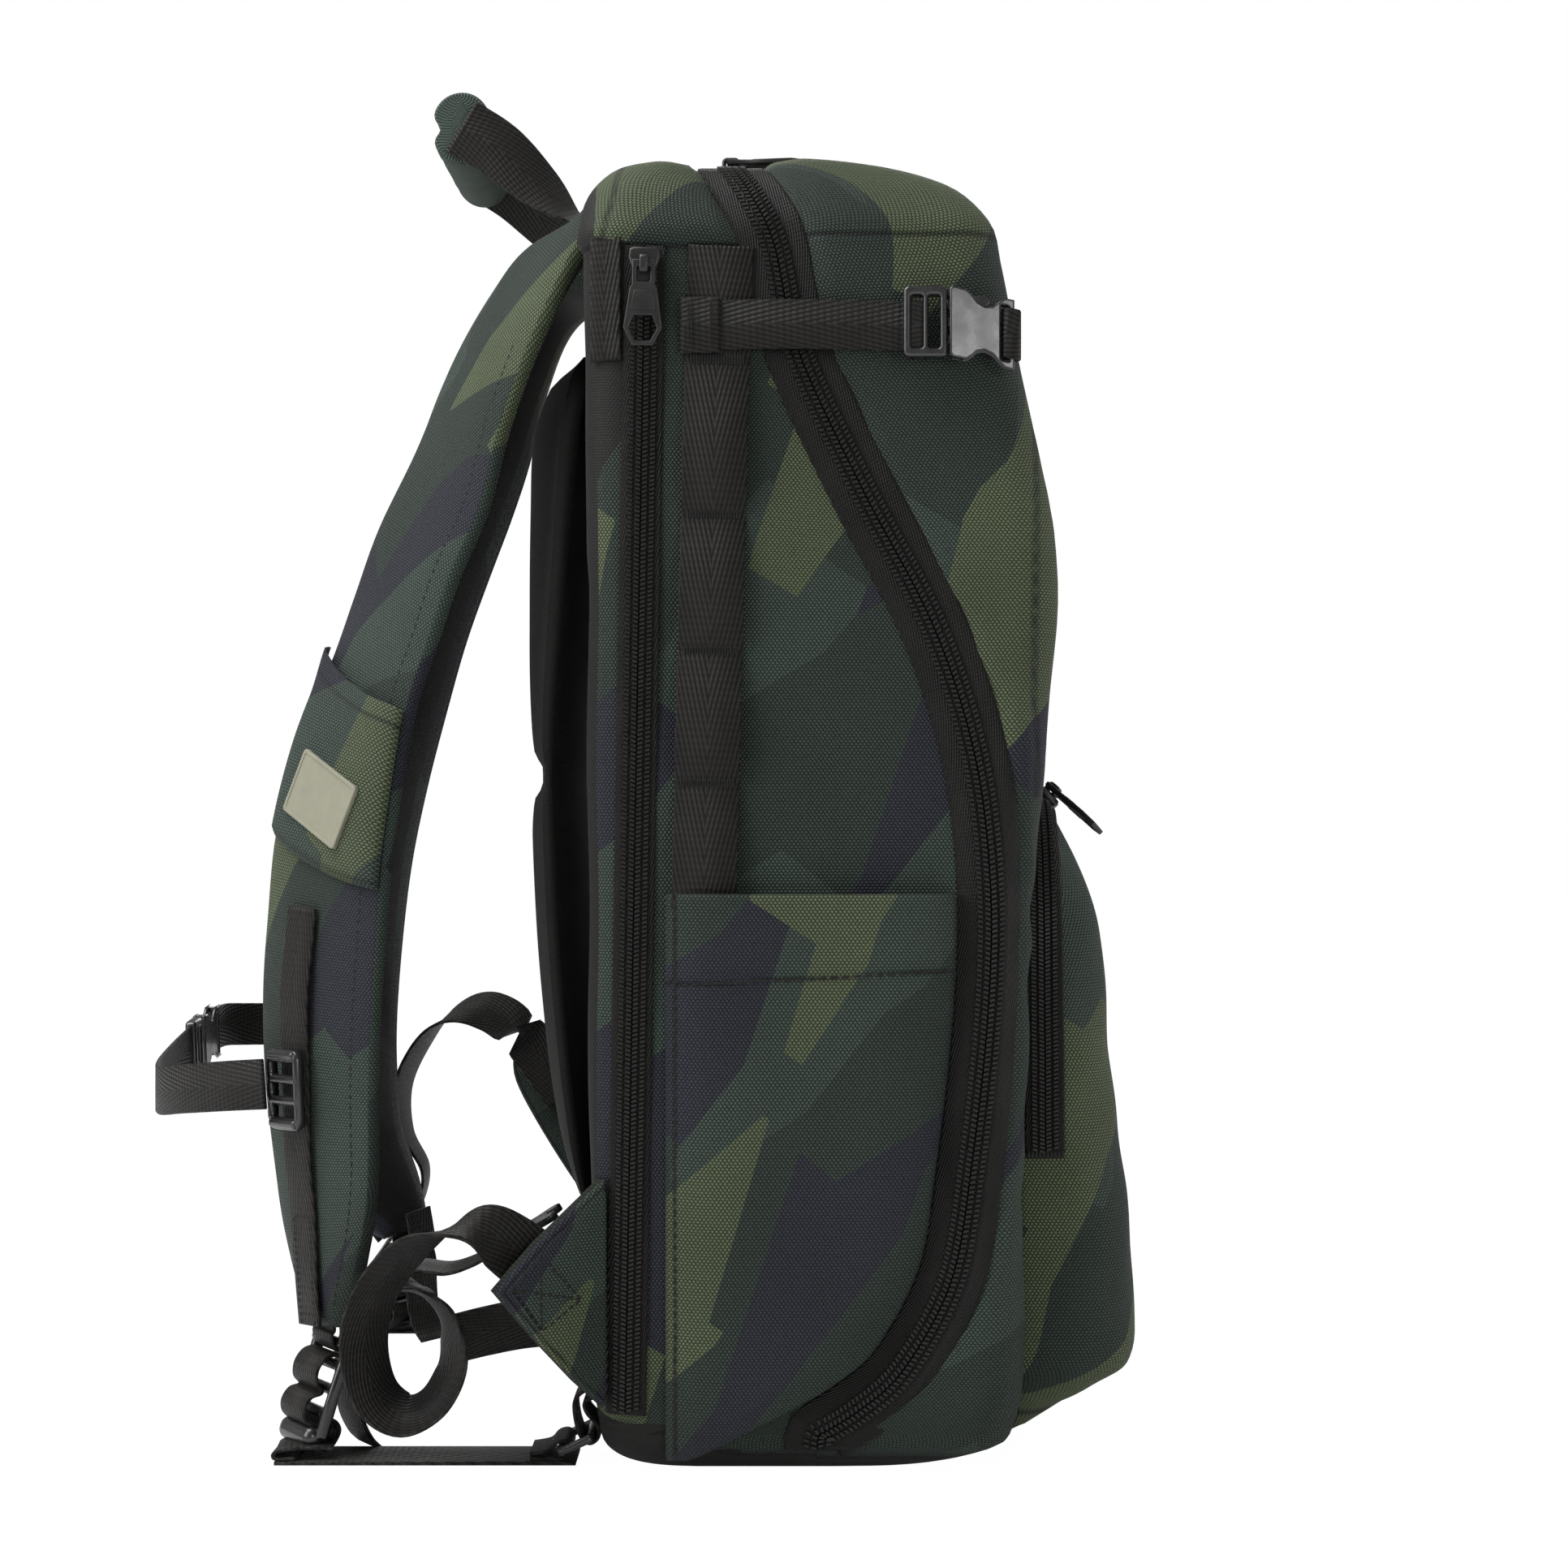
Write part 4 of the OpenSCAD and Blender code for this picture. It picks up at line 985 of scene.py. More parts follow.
columns = np.linspace(3, COLUMNS - 1, 40)
hem_z = HEM_FOOT + HEM_CLIMB * columns / COLUMNS
hem_rows = (hem_z - POCKET_FOOT) / (POCKET_TOP - POCKET_FOOT) * (ROWS - 1)
hem_stitch = stitches("hem", sample(pocket_grid, hem_rows, columns), (0, -1, 0))
side_rows = np.linspace(2, ROWS - 2, 60)
fold_columns = 4 / (np.interp(side_rows, np.arange(ROWS), right[:, 0]) - POCKET_LEFT) * (COLUMNS - 1)
fold_stitch = stitches("fold", sample(pocket_grid, side_rows, fold_columns), (0, -1, 0))
settle_pair(side_pocket, "pack", camo_cloth, "side_pocket_left")
sewn = join("side_pocket_stitch_left", [hem_stitch, fold_stitch])
settle_pair(sewn, "pack", sewing_thread, slot="black_cloth")
print("side pockets:", len(side_pocket.data.polygons), "faces each")

# %% Front pocket
POCKET_ROWS = np.array([
    [14, 92, 126], [20, 106, 130], [27, 121, 132], [36, 133, 132], [48, 136.5, 131], [66, 136, 130],
    [92, 134, 129], [125, 131, 127], [158, 128, 125], [190, 125, 122], [213, 121.5, 119],
    [231, 117, 114], [247, 110, 106], [257, 104, 98], [262, 99, 91],
], float)
CORNER = 24
RING = 121
jumps = np.hypot(np.diff(POCKET_ROWS[:, 0]), np.abs(np.diff(POCKET_ROWS[:, 1])))
s = np.concatenate([[0], np.cumsum(jumps)])
at = np.linspace(0, s[-1], 96)
heights, fronts, halves = (eased(s, POCKET_ROWS[:, k], at) for k in range(3))
lid_face = eased(BAG_ROWS[:, 0], BAG_ROWS[:, 2], heights) + 1.0


def pocket_ring(front, half, back):
    """From the lid on the left round the front to the lid on the right."""
    a = np.radians(np.linspace(0, 90, 12))
    r = min(CORNER, front - back)
    corner = np.stack([front - r + r * np.sin(a), -(half - r) - r * np.cos(a)], axis=1)
    left = np.concatenate([[(back, -half)], corner])
    return spaced(np.concatenate([left, (left * [1, -1])[::-1]]), RING)


rings = [pocket_ring(f, h, b) for f, h, b in zip(fronts, halves, lid_face)]
flat = np.array([grid_of(r[:, 0], r[:, 1], z) for r, z in zip(rings, heights)])
ahead = step(0, 20, flat[..., 0] - lid_face[:, None])
creased = 1.1 * ripple(flat, 26, 3.1) * ahead + 0.5 * ripple(flat, 11, 7.7) * ahead
flat = flat + grid_normals(flat) * creased[..., None]
base = grid_of(lid_face[0], rings[0][:, 1], 12.5)
top = grid_of(lid_face[-1], rings[-1][:, 1], 263)
front_grid = np.concatenate([[base], flat, [top]])
u = np.array([lengths(r) - lengths(r)[-1] / 2 for r in [rings[0]] + rings + [rings[-1]]])
v = np.concatenate([[-12], at, [s[-1] + 5]])
front_pocket = loft("front_pocket_cloth", front_grid, grid_of(u + 40, v[:, None] + 700))
x, y, z = np.moveaxis(front_grid, 2, 0)
lower_seam = near((z - 20) * 0.9)
panel_seam = near(np.abs(y) - (np.interp(z, heights, halves) - 26)) * (z > 24) * (z < 250)
mark(front_pocket, seam=np.maximum(lower_seam, panel_seam))
lined(front_pocket, 2.0)
settle(front_pocket, "lid", camo_cloth, "front_pocket")

# %% The front pocket's zip, over its top and down both sides
TAPE_X, TAPE_FOOT = 98.5, 119
climb = []
for k in range(len(heights)):
    if heights[k] > TAPE_FOOT and fronts[k] > TAPE_X + 1.2:
        place = np.interp(TAPE_X, front_grid[k + 1, :RING // 2 + 1, 0], np.arange(RING // 2 + 1))
        climb.append((k + 1, place))
climb = np.array(climb)
source = sample(front_grid, climb[:, 0], climb[:, 1])
source_out = unit(sample(grid_normals(front_grid), climb[:, 0], climb[:, 1]))
left_path = smooth_line(np.vstack([source[::4], source[-1] + [0, 6, 1.2]]), 4)
pocket_path = spaced(np.concatenate([left_path, (left_path * flip)[::-1]]), 260)
source, source_out = (np.concatenate([half, (half * flip)[::-1]]) for half in (source, source_out))
closest = np.argmin(np.linalg.norm(pocket_path[:, None] - source[None], axis=2), axis=1)
pocket_out = source_out[closest]
across_top = np.abs(pocket_path[:, 1]) < np.abs(left_path[-1, 1])
pocket_out[across_top] = unit([0.62, 0, 0.78])
for _ in range(12):
    pocket_out[1:-1] = unit(pocket_out[:-2] + 2 * pocket_out[1:-1] + pocket_out[2:])
pocket_aside = unit(np.cross(pocket_out, tangents(pocket_path)))
lines = pocket_path, pocket_out, pocket_aside
tapes = [tape_strip("pocket_tape", *lines, 0.1 * k, 7.8 * k) for k in (1, -1)]
settle(join("front_pocket_zip_tapes", tapes), "lid", zip_tape, "pocket_zip_tape")
settle(coil("front_pocket_zip_coil", *lines, [1, -1], 1.6), "lid", coil_plastic, slot="zip_tape")
tacks = []
for k in (0, -1):
    ends = pocket_path[k] + np.linspace(-7.5, 7.5, 16)[:, None] * pocket_aside[k] + 1.4 * pocket_out[k]
    tacks.append(stitches("tack", ends, pocket_out[k], 1.4, 0.1, 1.4, 0.7))
settle(join("front_pocket_zip_tacks", tacks), "lid", sewing_thread, slot="black_cloth")
print("front pocket zip:", round(lengths(pocket_path)[-1]), "mm")

# %% [markdown]
# ## Webbing on the sides
# Flat woven webbing is a ribbon with soft edges. The gear loops are one strip, sewn down with bar
# tacks and slack between them, so the strip rises a little in each loop. The compression strap starts
# at a folded tab and ends round the bar of its buckle.

# %% Gear loops
BELT_WIDE = 25
TACKS = (450, 430, 371, 319, 268, 212)
zs = np.linspace(206, 474, 220)
xs = np.interp(zs, [206, 225, 449, 474], [-35.4, -35, -29.5, -28.6])
slack = np.zeros_like(zs)
for low, high in zip(TACKS[1:], TACKS[:-1]):
    inside = (zs > low) & (zs < high)
    hang = (high - zs[inside]) / (high - low)
    slack[inside] = 4.6 * np.sin(math.pi * hang ** 1.6) ** 0.65
slack = slack * (zs < 430)
mid = grid_of(xs, -side_y(xs, zs) - 1.5 - slack - 1.2 * (zs < 440), zs)
gear = ribbon("gear_webbing_left_cloth", mid, (1, 0, 0), BELT_WIDE)
tack_rows = []
for tack in TACKS[1:-1]:
    x = float(np.interp(tack, zs, xs))
    for shift in (-0.9, 0.9):
        line = grid_of(np.linspace(x - 10.5, x + 10.5, 24), -154.0, tack + shift)
        tack_rows.append(stitches("tack", line, (0, -1, 0), 0.9, 0.15, 1.1, 0.6))
tack_rows = join("gear_webbing_tacks_left", tack_rows)
settle_pair(gear, "pack", webbing, "gear_webbing_left")
settle_pair(tack_rows, "pack", sewing_thread, slot="webbing")

# %% Compression straps
STRAP_Z = 443
STRAP_LINE = [
    (-30, -153.2, 0), (-12, -155.2, 0.3), (12, -156, 0), (34, -156, -0.5), (46, -157.6, -1),
    (50, -160, -1.2), (47, -162.2, -1.2), (42, -161.2, -1),
]
TAB_LINE = [
    (-43, -151.4, 0), (-44, -153.2, 0), (-42.5, -154.6, 0), (-36, -154.9, 0), (-31, -155.2, 0),
    (-29.6, -154.2, 0), (-30.4, -152.6, 0),
]
strap_line, tab_line = (np.array(line, float) + [0, 0, STRAP_Z] for line in (STRAP_LINE, TAB_LINE))
strap = ribbon("strap", smooth_line(strap_line, 8), (0, 0, 1), 19)
tab = ribbon("fold", smooth_line(tab_line, 6), (0, 0, 1), 21.5, 1.6)
sewn = []
for x in (-41, -39.8, -32.6):
    line = grid_of(x, -156.2, np.linspace(STRAP_Z - 9, STRAP_Z + 9, 14))
    sewn.append(stitches("row", line, (0, -1, 0), 1.3, 0.4, 0.4, 0.4))
tab_stitch = join("compression_stitch_left", sewn)
strap = join("compression_strap_left", [strap, tab])
for side, piece in (("right", mirrored(strap)), ("left", strap)):
    gathered = ("pack", "compression_male_" + side, (-0.028, 0, 0.443), (0.038, 0, 0.443))
    settle(piece, gathered, webbing, "compression_webbing_" + side)
settle_pair(tab_stitch, "pack", sewing_thread, slot="webbing")

# %% Patches at the top back corners, where the straps are sewn in
PATCH_X = -73.2
zs = np.linspace(430, 480, 20)
mid = grid_of(PATCH_X, -side_y(PATCH_X, zs) - 0.4, zs)
patch = ribbon("yoke_patch_left_cloth", mid, (1, -0.42, 0), 13, 1.4)
settle_pair(patch, "pack", webbing, "yoke_patch_left")
print("webbing on the sides done")

# %% [markdown]
# ## The carrying harness
# Straps, back pad, hip wings and grip are foam between two cloths. Each is lofted to its sewn shape
# and then blown up a little by Blender's cloth solver, with its sewn edges held, so that the cloth
# swells between the seams as it does over foam. The weave's UV map survives, because the mesh is kept.

# %% Filling a sewn piece
FILL_FRAMES = 20
CLOTH_STIFFNESS = 12.0


def stuffed(obj, held, pressure, most):
    """Blows up a closed mesh with its sewn points held, and limits how far a point may move, in mm."""
    start = points_of(obj)
    sewn = obj.vertex_groups.new(name="sewn")
    for k in np.flatnonzero(held):
        sewn.add([int(k)], 1.0, "REPLACE")
    cloth = obj.modifiers.new("filling", "CLOTH")
    cloth.settings.quality = 6
    cloth.settings.mass = 0.2
    cloth.settings.tension_stiffness = CLOTH_STIFFNESS
    cloth.settings.compression_stiffness = CLOTH_STIFFNESS
    cloth.settings.bending_stiffness = 0.3
    cloth.settings.use_pressure = True
    cloth.settings.uniform_pressure_force = pressure
    cloth.settings.vertex_group_mass = "sewn"
    cloth.settings.effector_weights.gravity = 0
    cloth.collision_settings.use_collision = False
    for frame_number in range(1, FILL_FRAMES + 1):
        scene.frame_set(frame_number)
    only(obj)
    bpy.ops.object.modifier_apply(modifier="filling")
    scene.frame_set(1)
    shift = points_of(obj) - start
    far = np.linalg.norm(shift, axis=1, keepdims=True)
    move_points(obj, start + shift * np.minimum(far, most) / np.maximum(far, 1e-9))
    obj.vertex_groups.clear()


# %% Laying thread on a finished surface
def sew(name, obj, points, *sizes):
    """A row of stitches at the nearest places on a piece."""
    near_by = [obj.closest_point_on_mesh(Vector(point * MM)) for point in points]
    spots = np.array([np.array(spot) / MM for _, spot, _, _ in near_by])
    return stitches(name, spots, np.array([normal for _, _, normal, _ in near_by]), *sizes)


# %% The lines of the shoulder straps
STRAP_MID = [
    (-82, -90, 496), (-101, -92, 478), (-115, -94, 454), (-128, -98, 424), (-139, -102, 390),
    (-152, -106, 360), (-161, -108, 333), (-169, -111, 308), (-178, -113, 277), (-185, -113, 243),
    (-188, -113, 211), (-190, -113, 180), (-190, -113, 146), (-188, -113, 113), (-187, -113, 91),
    (-186, -113, 68), (-185, -113, 50),
]
STRAP_ACROSS = [
    (6, -58, -6), (16, -57, -24), (18, -57, -36), (24, -57, -38), (32, -56, -30), (36, -55, -24),
    (37, -53, -22), (38, -52, -20), (46, -50, -16), (51, -50, -10), (52, -50, -5), (52, -50, -3),
    (50, -50, 0), (46, -50, 5), (40, -46, 9), (28, -37, 10), (16, -22, 5),
]
BOWED_MID = [
    (-82, -90, 496), (-101, -92, 504), (-121, -95, 497), (-137, -98, 467), (-148, -102, 440),
    (-159, -106, 411), (-171, -108, 380), (-183, -111, 348), (-194, -113, 312), (-203, -113, 272),
    (-210, -113, 232), (-214, -113, 192), (-216, -113, 150), (-215, -113, 117), (-211, -113, 90),
    (-200, -113, 67), (-189, -113, 50),
]
BOWED_ACROSS = [
    (6, -58, -6), (10, -57, -8), (16, -57, -24), (22, -57, -34), (32, -56, -30), (36, -55, -24),
    (37, -54, -22), (38, -54, -20), (40, -55, -16), (38, -59, -10), (36, -61, -5), (34, -62, -3),
    (32, -62, 0), (31, -60, 5), (30, -54, 9), (26, -40, 10), (16, -22, 5),
]
RAIL_U = -0.1
STRAP_HALF_T = 6.5
STRAP_ROWS = 116


def strap_path(mid, across):
    """A strap's middle, its vectors across and its normals, with four steps to a row of the CAD model."""
    mid, across = smooth_line(mid, 8), smooth_line(across, 8)
    return mid, across, unit(np.cross(tangents(mid), across))


PATHS = {"left": strap_path(STRAP_MID, STRAP_ACROSS), "right": strap_path(BOWED_MID, BOWED_ACROSS)}


def crown(u):
    return STRAP_HALF_T * (1 - 0.72 * np.asarray(u, float) ** 4)


def along_strap(line, row):
    """One of a strap's lines at rows of the CAD model's strap."""
    return at_lengths(line, np.arange(len(line)), np.asarray(row, float) * 4)


def strap_at(path, row, u, height):
    """A place on a strap: a row of the CAD model's strap, a share of its width, and a height."""
    mid, over, out = (along_strap(line, row) for line in path)
    return mid + np.asarray(u)[..., None] / 2 * over + np.asarray(height)[..., None] * unit(out)


# %% Shoulder straps
def shoulder_strap(name, path):
    """A crowned pad. Its outer cloth wraps both edges, and a black lining lies between them behind."""
    rows = np.linspace(0, 32, STRAP_ROWS)[:, None]
    u = np.cos(np.linspace(0, math.pi, 17))
    ring_u = np.concatenate([u, [-1.025], u[::-1], [1.025]])
    ring_h = np.concatenate([crown(u), [-1.0], -crown(u) - 1.6, [-1.0]])
    taper = np.where(rows > 31, np.sqrt(np.clip(1 - (rows - 31) ** 2, 0.04, 1)), 1)
    grid = strap_at(path, rows, ring_u[None, :], ring_h[None, :] * taper)
    run = lengths(along_strap(path[0], rows[:, 0]))
    steps = np.linalg.norm(np.diff(np.concatenate([grid, grid[:, :1]], axis=1), axis=1), axis=2)
    uv_u = 935 - np.hstack([np.zeros((STRAP_ROWS, 1)), np.cumsum(steps, axis=1)])
    strap = loft(name, grid, grid_of(uv_u, -run[:, None]), closed=True, capped=True)
    front = np.zeros(len(u) + 1)
    lining = np.minimum(u[::-1] + 0.7, 0.66 - u[::-1]) * 12
    trim = np.concatenate([front - 2, lining, [-2.0]])
    seam = np.concatenate([front, near((0.93 - u[::-1]) * 30), [0.0]])
    mark(strap, trim=np.tile(trim, (STRAP_ROWS, 1)), seam=np.tile(seam, (STRAP_ROWS, 1)))
    edges = np.abs(u) > 0.9
    held = np.tile(np.concatenate([edges, [True], edges, [True]]), (STRAP_ROWS, 1))
    held[:8] = True
    held[-4:] = True
    face_outwards(strap)
    stuffed(strap, held, 2.0, 1.2)
    return strap


straps = {side: shoulder_strap("shoulder_strap_" + side + "_cloth", path) for side, path in PATHS.items()}
for side, path in PATHS.items():
    edge_rows = np.linspace(4, 31, 150)
    edge = strap_at(path, edge_rows, 0.8, 9)
    thread = sew("strap_stitch_" + side, straps[side], edge, 2.6, 1.2, 0.4, 0.4)
    to_side(side, straps[side], thread)
    nodes = "shoulder_strap_" + side, "strap_lining_" + side
    settle(straps[side], "pack", camo_cloth, *nodes)
    settle(thread, "pack", sewing_thread, slot="camo_cloth")
    print(side, "strap:", round(lengths(path[0])[-1]), "mm long")

# %% The stash pocket and its rubber patch
ROW_MM = 17
PATCH_ROW, PATCH_U = 17, 0.05
left_path = PATHS["left"]
u = np.linspace(-1, 1, 33)
share = np.linspace(0, 1, 30)
top_row = 13.98 + 0.23 * u + 0.23 * (1 - u**2)
foot_row = 18.43 + 0.42 * u + 0.15 * (1 - u**2)
rows = top_row + share[:, None] * (foot_row - top_row)
inner = np.minimum(dome((1 - np.abs(u)) * 26, 9), dome((foot_row - rows) * ROW_MM, 14))
mouth = 2.2 * step(0.55, 1.0, -u) * (1 - step(0, 0.3, share))[:, None]
height = crown(u) + 1.3 + 2.9 * inner + mouth
grid = strap_at(left_path, rows, u * 1.015, height)[::-1]
rows = rows[::-1]
stash = loft("strap_pocket_cloth", grid, grid_of(u * 30 + 1180, -rows * ROW_MM + 260))
from_mouth, from_foot = (rows - 0.5 - top_row) * ROW_MM, (foot_row - 0.2 - rows) * ROW_MM
mark(stash, seam=np.maximum(near(from_mouth), near(from_foot)))
face_outwards(stash)
apply_modifier(stash, "SOLIDIFY", thickness=1.2 * MM, offset=-1)
settle(stash, "pack", camo_cloth, "strap_pocket")
spot = strap_at(left_path, PATCH_ROW, PATCH_U, float(crown(PATCH_U)) + 4.3)
ends = [strap_at(left_path, PATCH_ROW + shift, PATCH_U, 0) for shift in (-0.5, 0.5)]
facing = along_strap(left_path[2], PATCH_ROW)
spot_frame = frame_at(spot, np.cross(facing, ends[1] - ends[0]), facing) @ turned(-15, "Z")
outer, inner = rounded(-20, 20, -13.5, 13.5, 1.6), rounded(-18.4, 18.4, -11.9, 11.9, 1.0)
patch = plate("face", [outer], 1.2, 0.4, spot_frame)
rim = plate("rim", [outer, inner], 2.0, 0.4, spot_frame)
settle(join("strap_patch_rubber", [patch, rim]), "pack", patch_rubber, "strap_patch")

# %% Rails for the sternum strap, each sewn down in a box at its foot
RAIL_ROWS = 70
for side, path in PATHS.items():
    rail_rows = np.linspace(19.6, 31.6, RAIL_ROWS)
    lift = crown(RAIL_U) + 2.2 + 1.0 * np.sin(np.clip((rail_rows - 20) / 7.5, 0, 1) * math.pi * 2) ** 2
    mid = strap_at(path, rail_rows, RAIL_U, lift)
    outward = along_strap(path[2], rail_rows)
    way = np.cross(outward, tangents(mid))
    rail = ribbon("strap_rail_" + side + "_cloth", mid, way, 18)
    sewn = []
    counts = np.arange(RAIL_ROWS)
    for low, high, a, b in ((46, 69, -6, -6), (46, 69, 6, 6), (46, 46, -6, 6), (66, 66, -6, 6)):
        at = np.linspace(low, high, 20)
        line = at_lengths(mid, counts, at) + 3 * along_strap(path[2], np.interp(at, counts, rail_rows))
        line += np.linspace(a, b, 20)[:, None] * at_lengths(unit(way), counts, at)
        sewn.append(sew("row", rail, line, 1.8, 0.8, 0.35, 0.35))
    thread = join("strap_rail_stitch_" + side, sewn)
    to_side(side, rail, thread)
    settle(rail, "pack", webbing, "strap_rail_" + side)
    settle(thread, "pack", sewing_thread, slot="webbing")

# %% [markdown]
# ## Back pad, divider and wings
# The back pad is two cushions with a slot behind them for a suitcase handle, so its middle stands off
# the back. The divider inside and the hip wings are the same kind of sewn panel.

# %% Back pad
PAD_ROWS = np.array([
    [92, -81.5, 0.2, 104], [104, -83, 0.65, 112], [125, -86, 0.9, 116], [160, -90, 1, 118],
    [205, -94, 1, 118], [245, -96, 1, 118], [260, -96.5, 0.9, 118], [267, -97, 0.55, 117],
    [273, -97, 0.55, 117], [280, -96.5, 0.9, 118], [300, -95.5, 1.1, 118], [340, -92, 1.4, 117],
    [380, -88.5, 1.65, 115], [410, -86, 1.8, 112], [430, -84, 1.5, 106], [440, -83.5, 0.5, 98],
], float)
PAD_HALF = 118
PAD_STEPS, PAD_COLUMNS = 110, 40


def cushion(name, sides, z, ring, node, held=None):
    """A closed panel of two faces, filled where it is not held, that rides on the pack."""
    piece = loft(name, np.concatenate(sides, axis=1), grid_of(ring, z), closed=True, capped=True)
    face_outwards(piece)
    if held is not None:
        stuffed(piece, held, 2.0, 4.0)
    settle(piece, "pack", black_cloth, node)


zs = np.linspace(92, 440, PAD_STEPS)[:, None]
face, share, half = (eased(PAD_ROWS[:, 0], PAD_ROWS[:, k], zs) for k in (1, 2, 3))
u = np.sin(np.linspace(-math.pi / 2, math.pi / 2, PAD_COLUMNS))
thick = 14 * share * (1 - 0.7 * u**4)
thick -= 3.5 * np.exp(-((u * PAD_HALF / 9) ** 2)) * step(0.3, 0.9, share)
outer = grid_of(face - thick, half * u, zs)
inner = grid_of(face, half * u[::-1], zs)
held = np.ones((PAD_STEPS, 2 * PAD_COLUMNS), bool)
open_part = slice(3, PAD_COLUMNS - 3)
held[:, open_part] = ~((share > 0.6) & (np.abs(u[::-1][open_part] * PAD_HALF) > 8))
ring = np.concatenate([np.linspace(-118, 118, PAD_COLUMNS), np.linspace(120, 356, PAD_COLUMNS), [360]])
cushion("back_pad_cloth", [outer[:, ::-1], inner[:, ::-1]], zs, ring, "back_pad", held)

# %% Laptop divider
DIVIDER_X = -50
zs = np.linspace(5, 506, 90)[:, None]
half = eased(BAG_ROWS[:, 0], HALF_W - BAG_ROWS[:, 3], zs) - 5.2
half = np.minimum(half, half.max())
u = np.sin(np.linspace(-math.pi / 2, math.pi / 2, 36))
quilt = 2.4 * (1 - 0.6 * u**6) * (1 - 0.45 * np.exp(-((np.mod(zs, 84) - 42) / 4) ** 2))
front, rear = (grid_of(DIVIDER_X + k * quilt, half * u, zs) for k in (1, -1))
ring = np.concatenate([np.linspace(-150, 150, 36), np.linspace(152, 452, 36), [456]])
cushion("laptop_divider_cloth", [front, rear[:, ::-1]], zs, ring, "laptop_divider")


# %% Hip wings
def wing(side, upper, lower, place, turn, uv_shift, sewn_box):
    """A padded panel between its upper and lower edge, from the seam to its tip, turned at the seam."""
    node, body = "hip_wing_" + side, "hip_" + side
    up, down = (spaced(np.array(edge, float), 34) for edge in (upper, lower))
    t = 0.5 - 0.5 * np.cos(np.linspace(0, math.pi, 26))
    flat = down[:, None] * (1 - t)[None, :, None] + up[:, None] * t[None, :, None]
    rim = np.minimum(t, 1 - t) * np.linalg.norm(up - down, axis=1)[:, None]
    run = lengths(0.5 * (up + down))
    to_tip = (run[-1] - run)[:, None]
    swell = 2.0 + 2.4 * np.minimum(dome(rim, 12), dome(to_tip, 9))
    near_face, far_face = (grid_of(flat[..., 0], k * swell, flat[..., 1]) for k in (-1, 1))
    grid = np.concatenate([near_face, far_face[:, ::-1]], axis=1)
    angle = math.radians(turn)
    along = np.array([math.cos(angle), math.sin(angle), 0])
    outward = np.array([-math.sin(angle), math.cos(angle), 0])
    upward = np.array([0, 0, 1.0])
    grid = grid[..., :1] * along + grid[..., 1:2] * outward + grid[..., 2:] * upward + np.array(place)
    uv = np.concatenate([flat, flat[:, ::-1] + [400, 0], flat[:, :1]], axis=1) + uv_shift
    piece = loft(node + "_cloth", grid, uv, closed=True, capped=True)
    edge = np.minimum(rim, to_tip)
    both = np.concatenate([edge, edge[:, ::-1]], axis=1)
    mark(piece, seam=near((both - 3.2) * 1.4), trim=np.full_like(both, -1.0))
    face_outwards(piece)
    stuffed(piece, both < 5, 1.5, 1.5)
    sewn = []
    for low, high in zip(sewn_box, sewn_box[1:]):
        line = np.linspace(low, high, 24)
        line = line[:, :1] * along - 9 * outward + line[:, 1:] * upward + np.array(place)
        sewn.append(sew("row", piece, line, 2.2, 0.6, 0.55, 0.45))
    if sewn:
        settle(join(node + "_stitch", sewn), body, sewing_thread, slot="camo_cloth")
    settle(piece, body, camo_cloth, node)


wing(
    "left", [(0, 46), (-28, 24), (-46, 7)], [(0, -42), (-12, -31), (-28, -14), (-46, 7)],
    (-75, -148.5, 69), 32, (305, 222),
    [(-28, 19.3), (-11, 1), (-28, -9.8), (-41, 7.9), (-28, 19.3), (-28, -9.8), (-41, 7.9), (-11, 1)],
)
wing(
    "right", smooth_line([(0, 46), (-26, 59), (-54, 71), (-63, 68)], 6),
    smooth_line([(0, -46), (-36, 1), (-62, 43), (-66, 60), (-63, 68)], 6),
    (-75, 148.5, 69), -8, (1700, 520), [],
)
print("pad, divider and wings sewn")

# %% Belt webbing, lower straps and handle
def belt(name, mid, across, wide, body, *node):
    """Webbing through points, with a vector across it at each point or one for all of them."""
    across = smooth_line(across, 8) if len(across) == len(mid) else across
    settle(ribbon(name, smooth_line(mid, 8), across, wide), body, webbing, *node)


belt(
    "hip_belt_left",
    [(-103, -157, 86), (-116, -163, 96), (-129, -166, 98), (-143, -164, 93), (-155, -160, 81),
     (-163, -158, 66), (-165, -157, 49), (-160, -158, 33), (-149, -159, 26), (-138, -157, 31),
     (-132, -152, 44), (-135, -145, 58), (-144, -138, 67), (-152, -133.5, 70.5), (-155, -132, 75),
     (-148, -131.5, 78), (-136, -131.5, 77), (-126, -131.5, 80), (-118, -132, 84.5)],
    [(10, 4, 18), (8, 15, 14), (-1, 24, 1), (5, 22, -9), (10, 20, -10), (15, 20, -4), (15, 20, 2),
     (10, 20, 8), (3, 21, 10), (-7, 21, 7), (-11, 21, 3), (-10, 22, -4), (-4, 24, -3)] + [(0, 24, 0)] * 6,
    BELT_WIDE, "hip_left", "hip_webbing_left",
)
tail = smooth_line([(-93, -139, 58), (-108, -137, 56), (-122, -136, 53), (-134, -136, 50)], 6)
settle(ribbon("hip_belt_tail", tail, (0, 13, -21), BELT_WIDE), "hip_left", webbing)
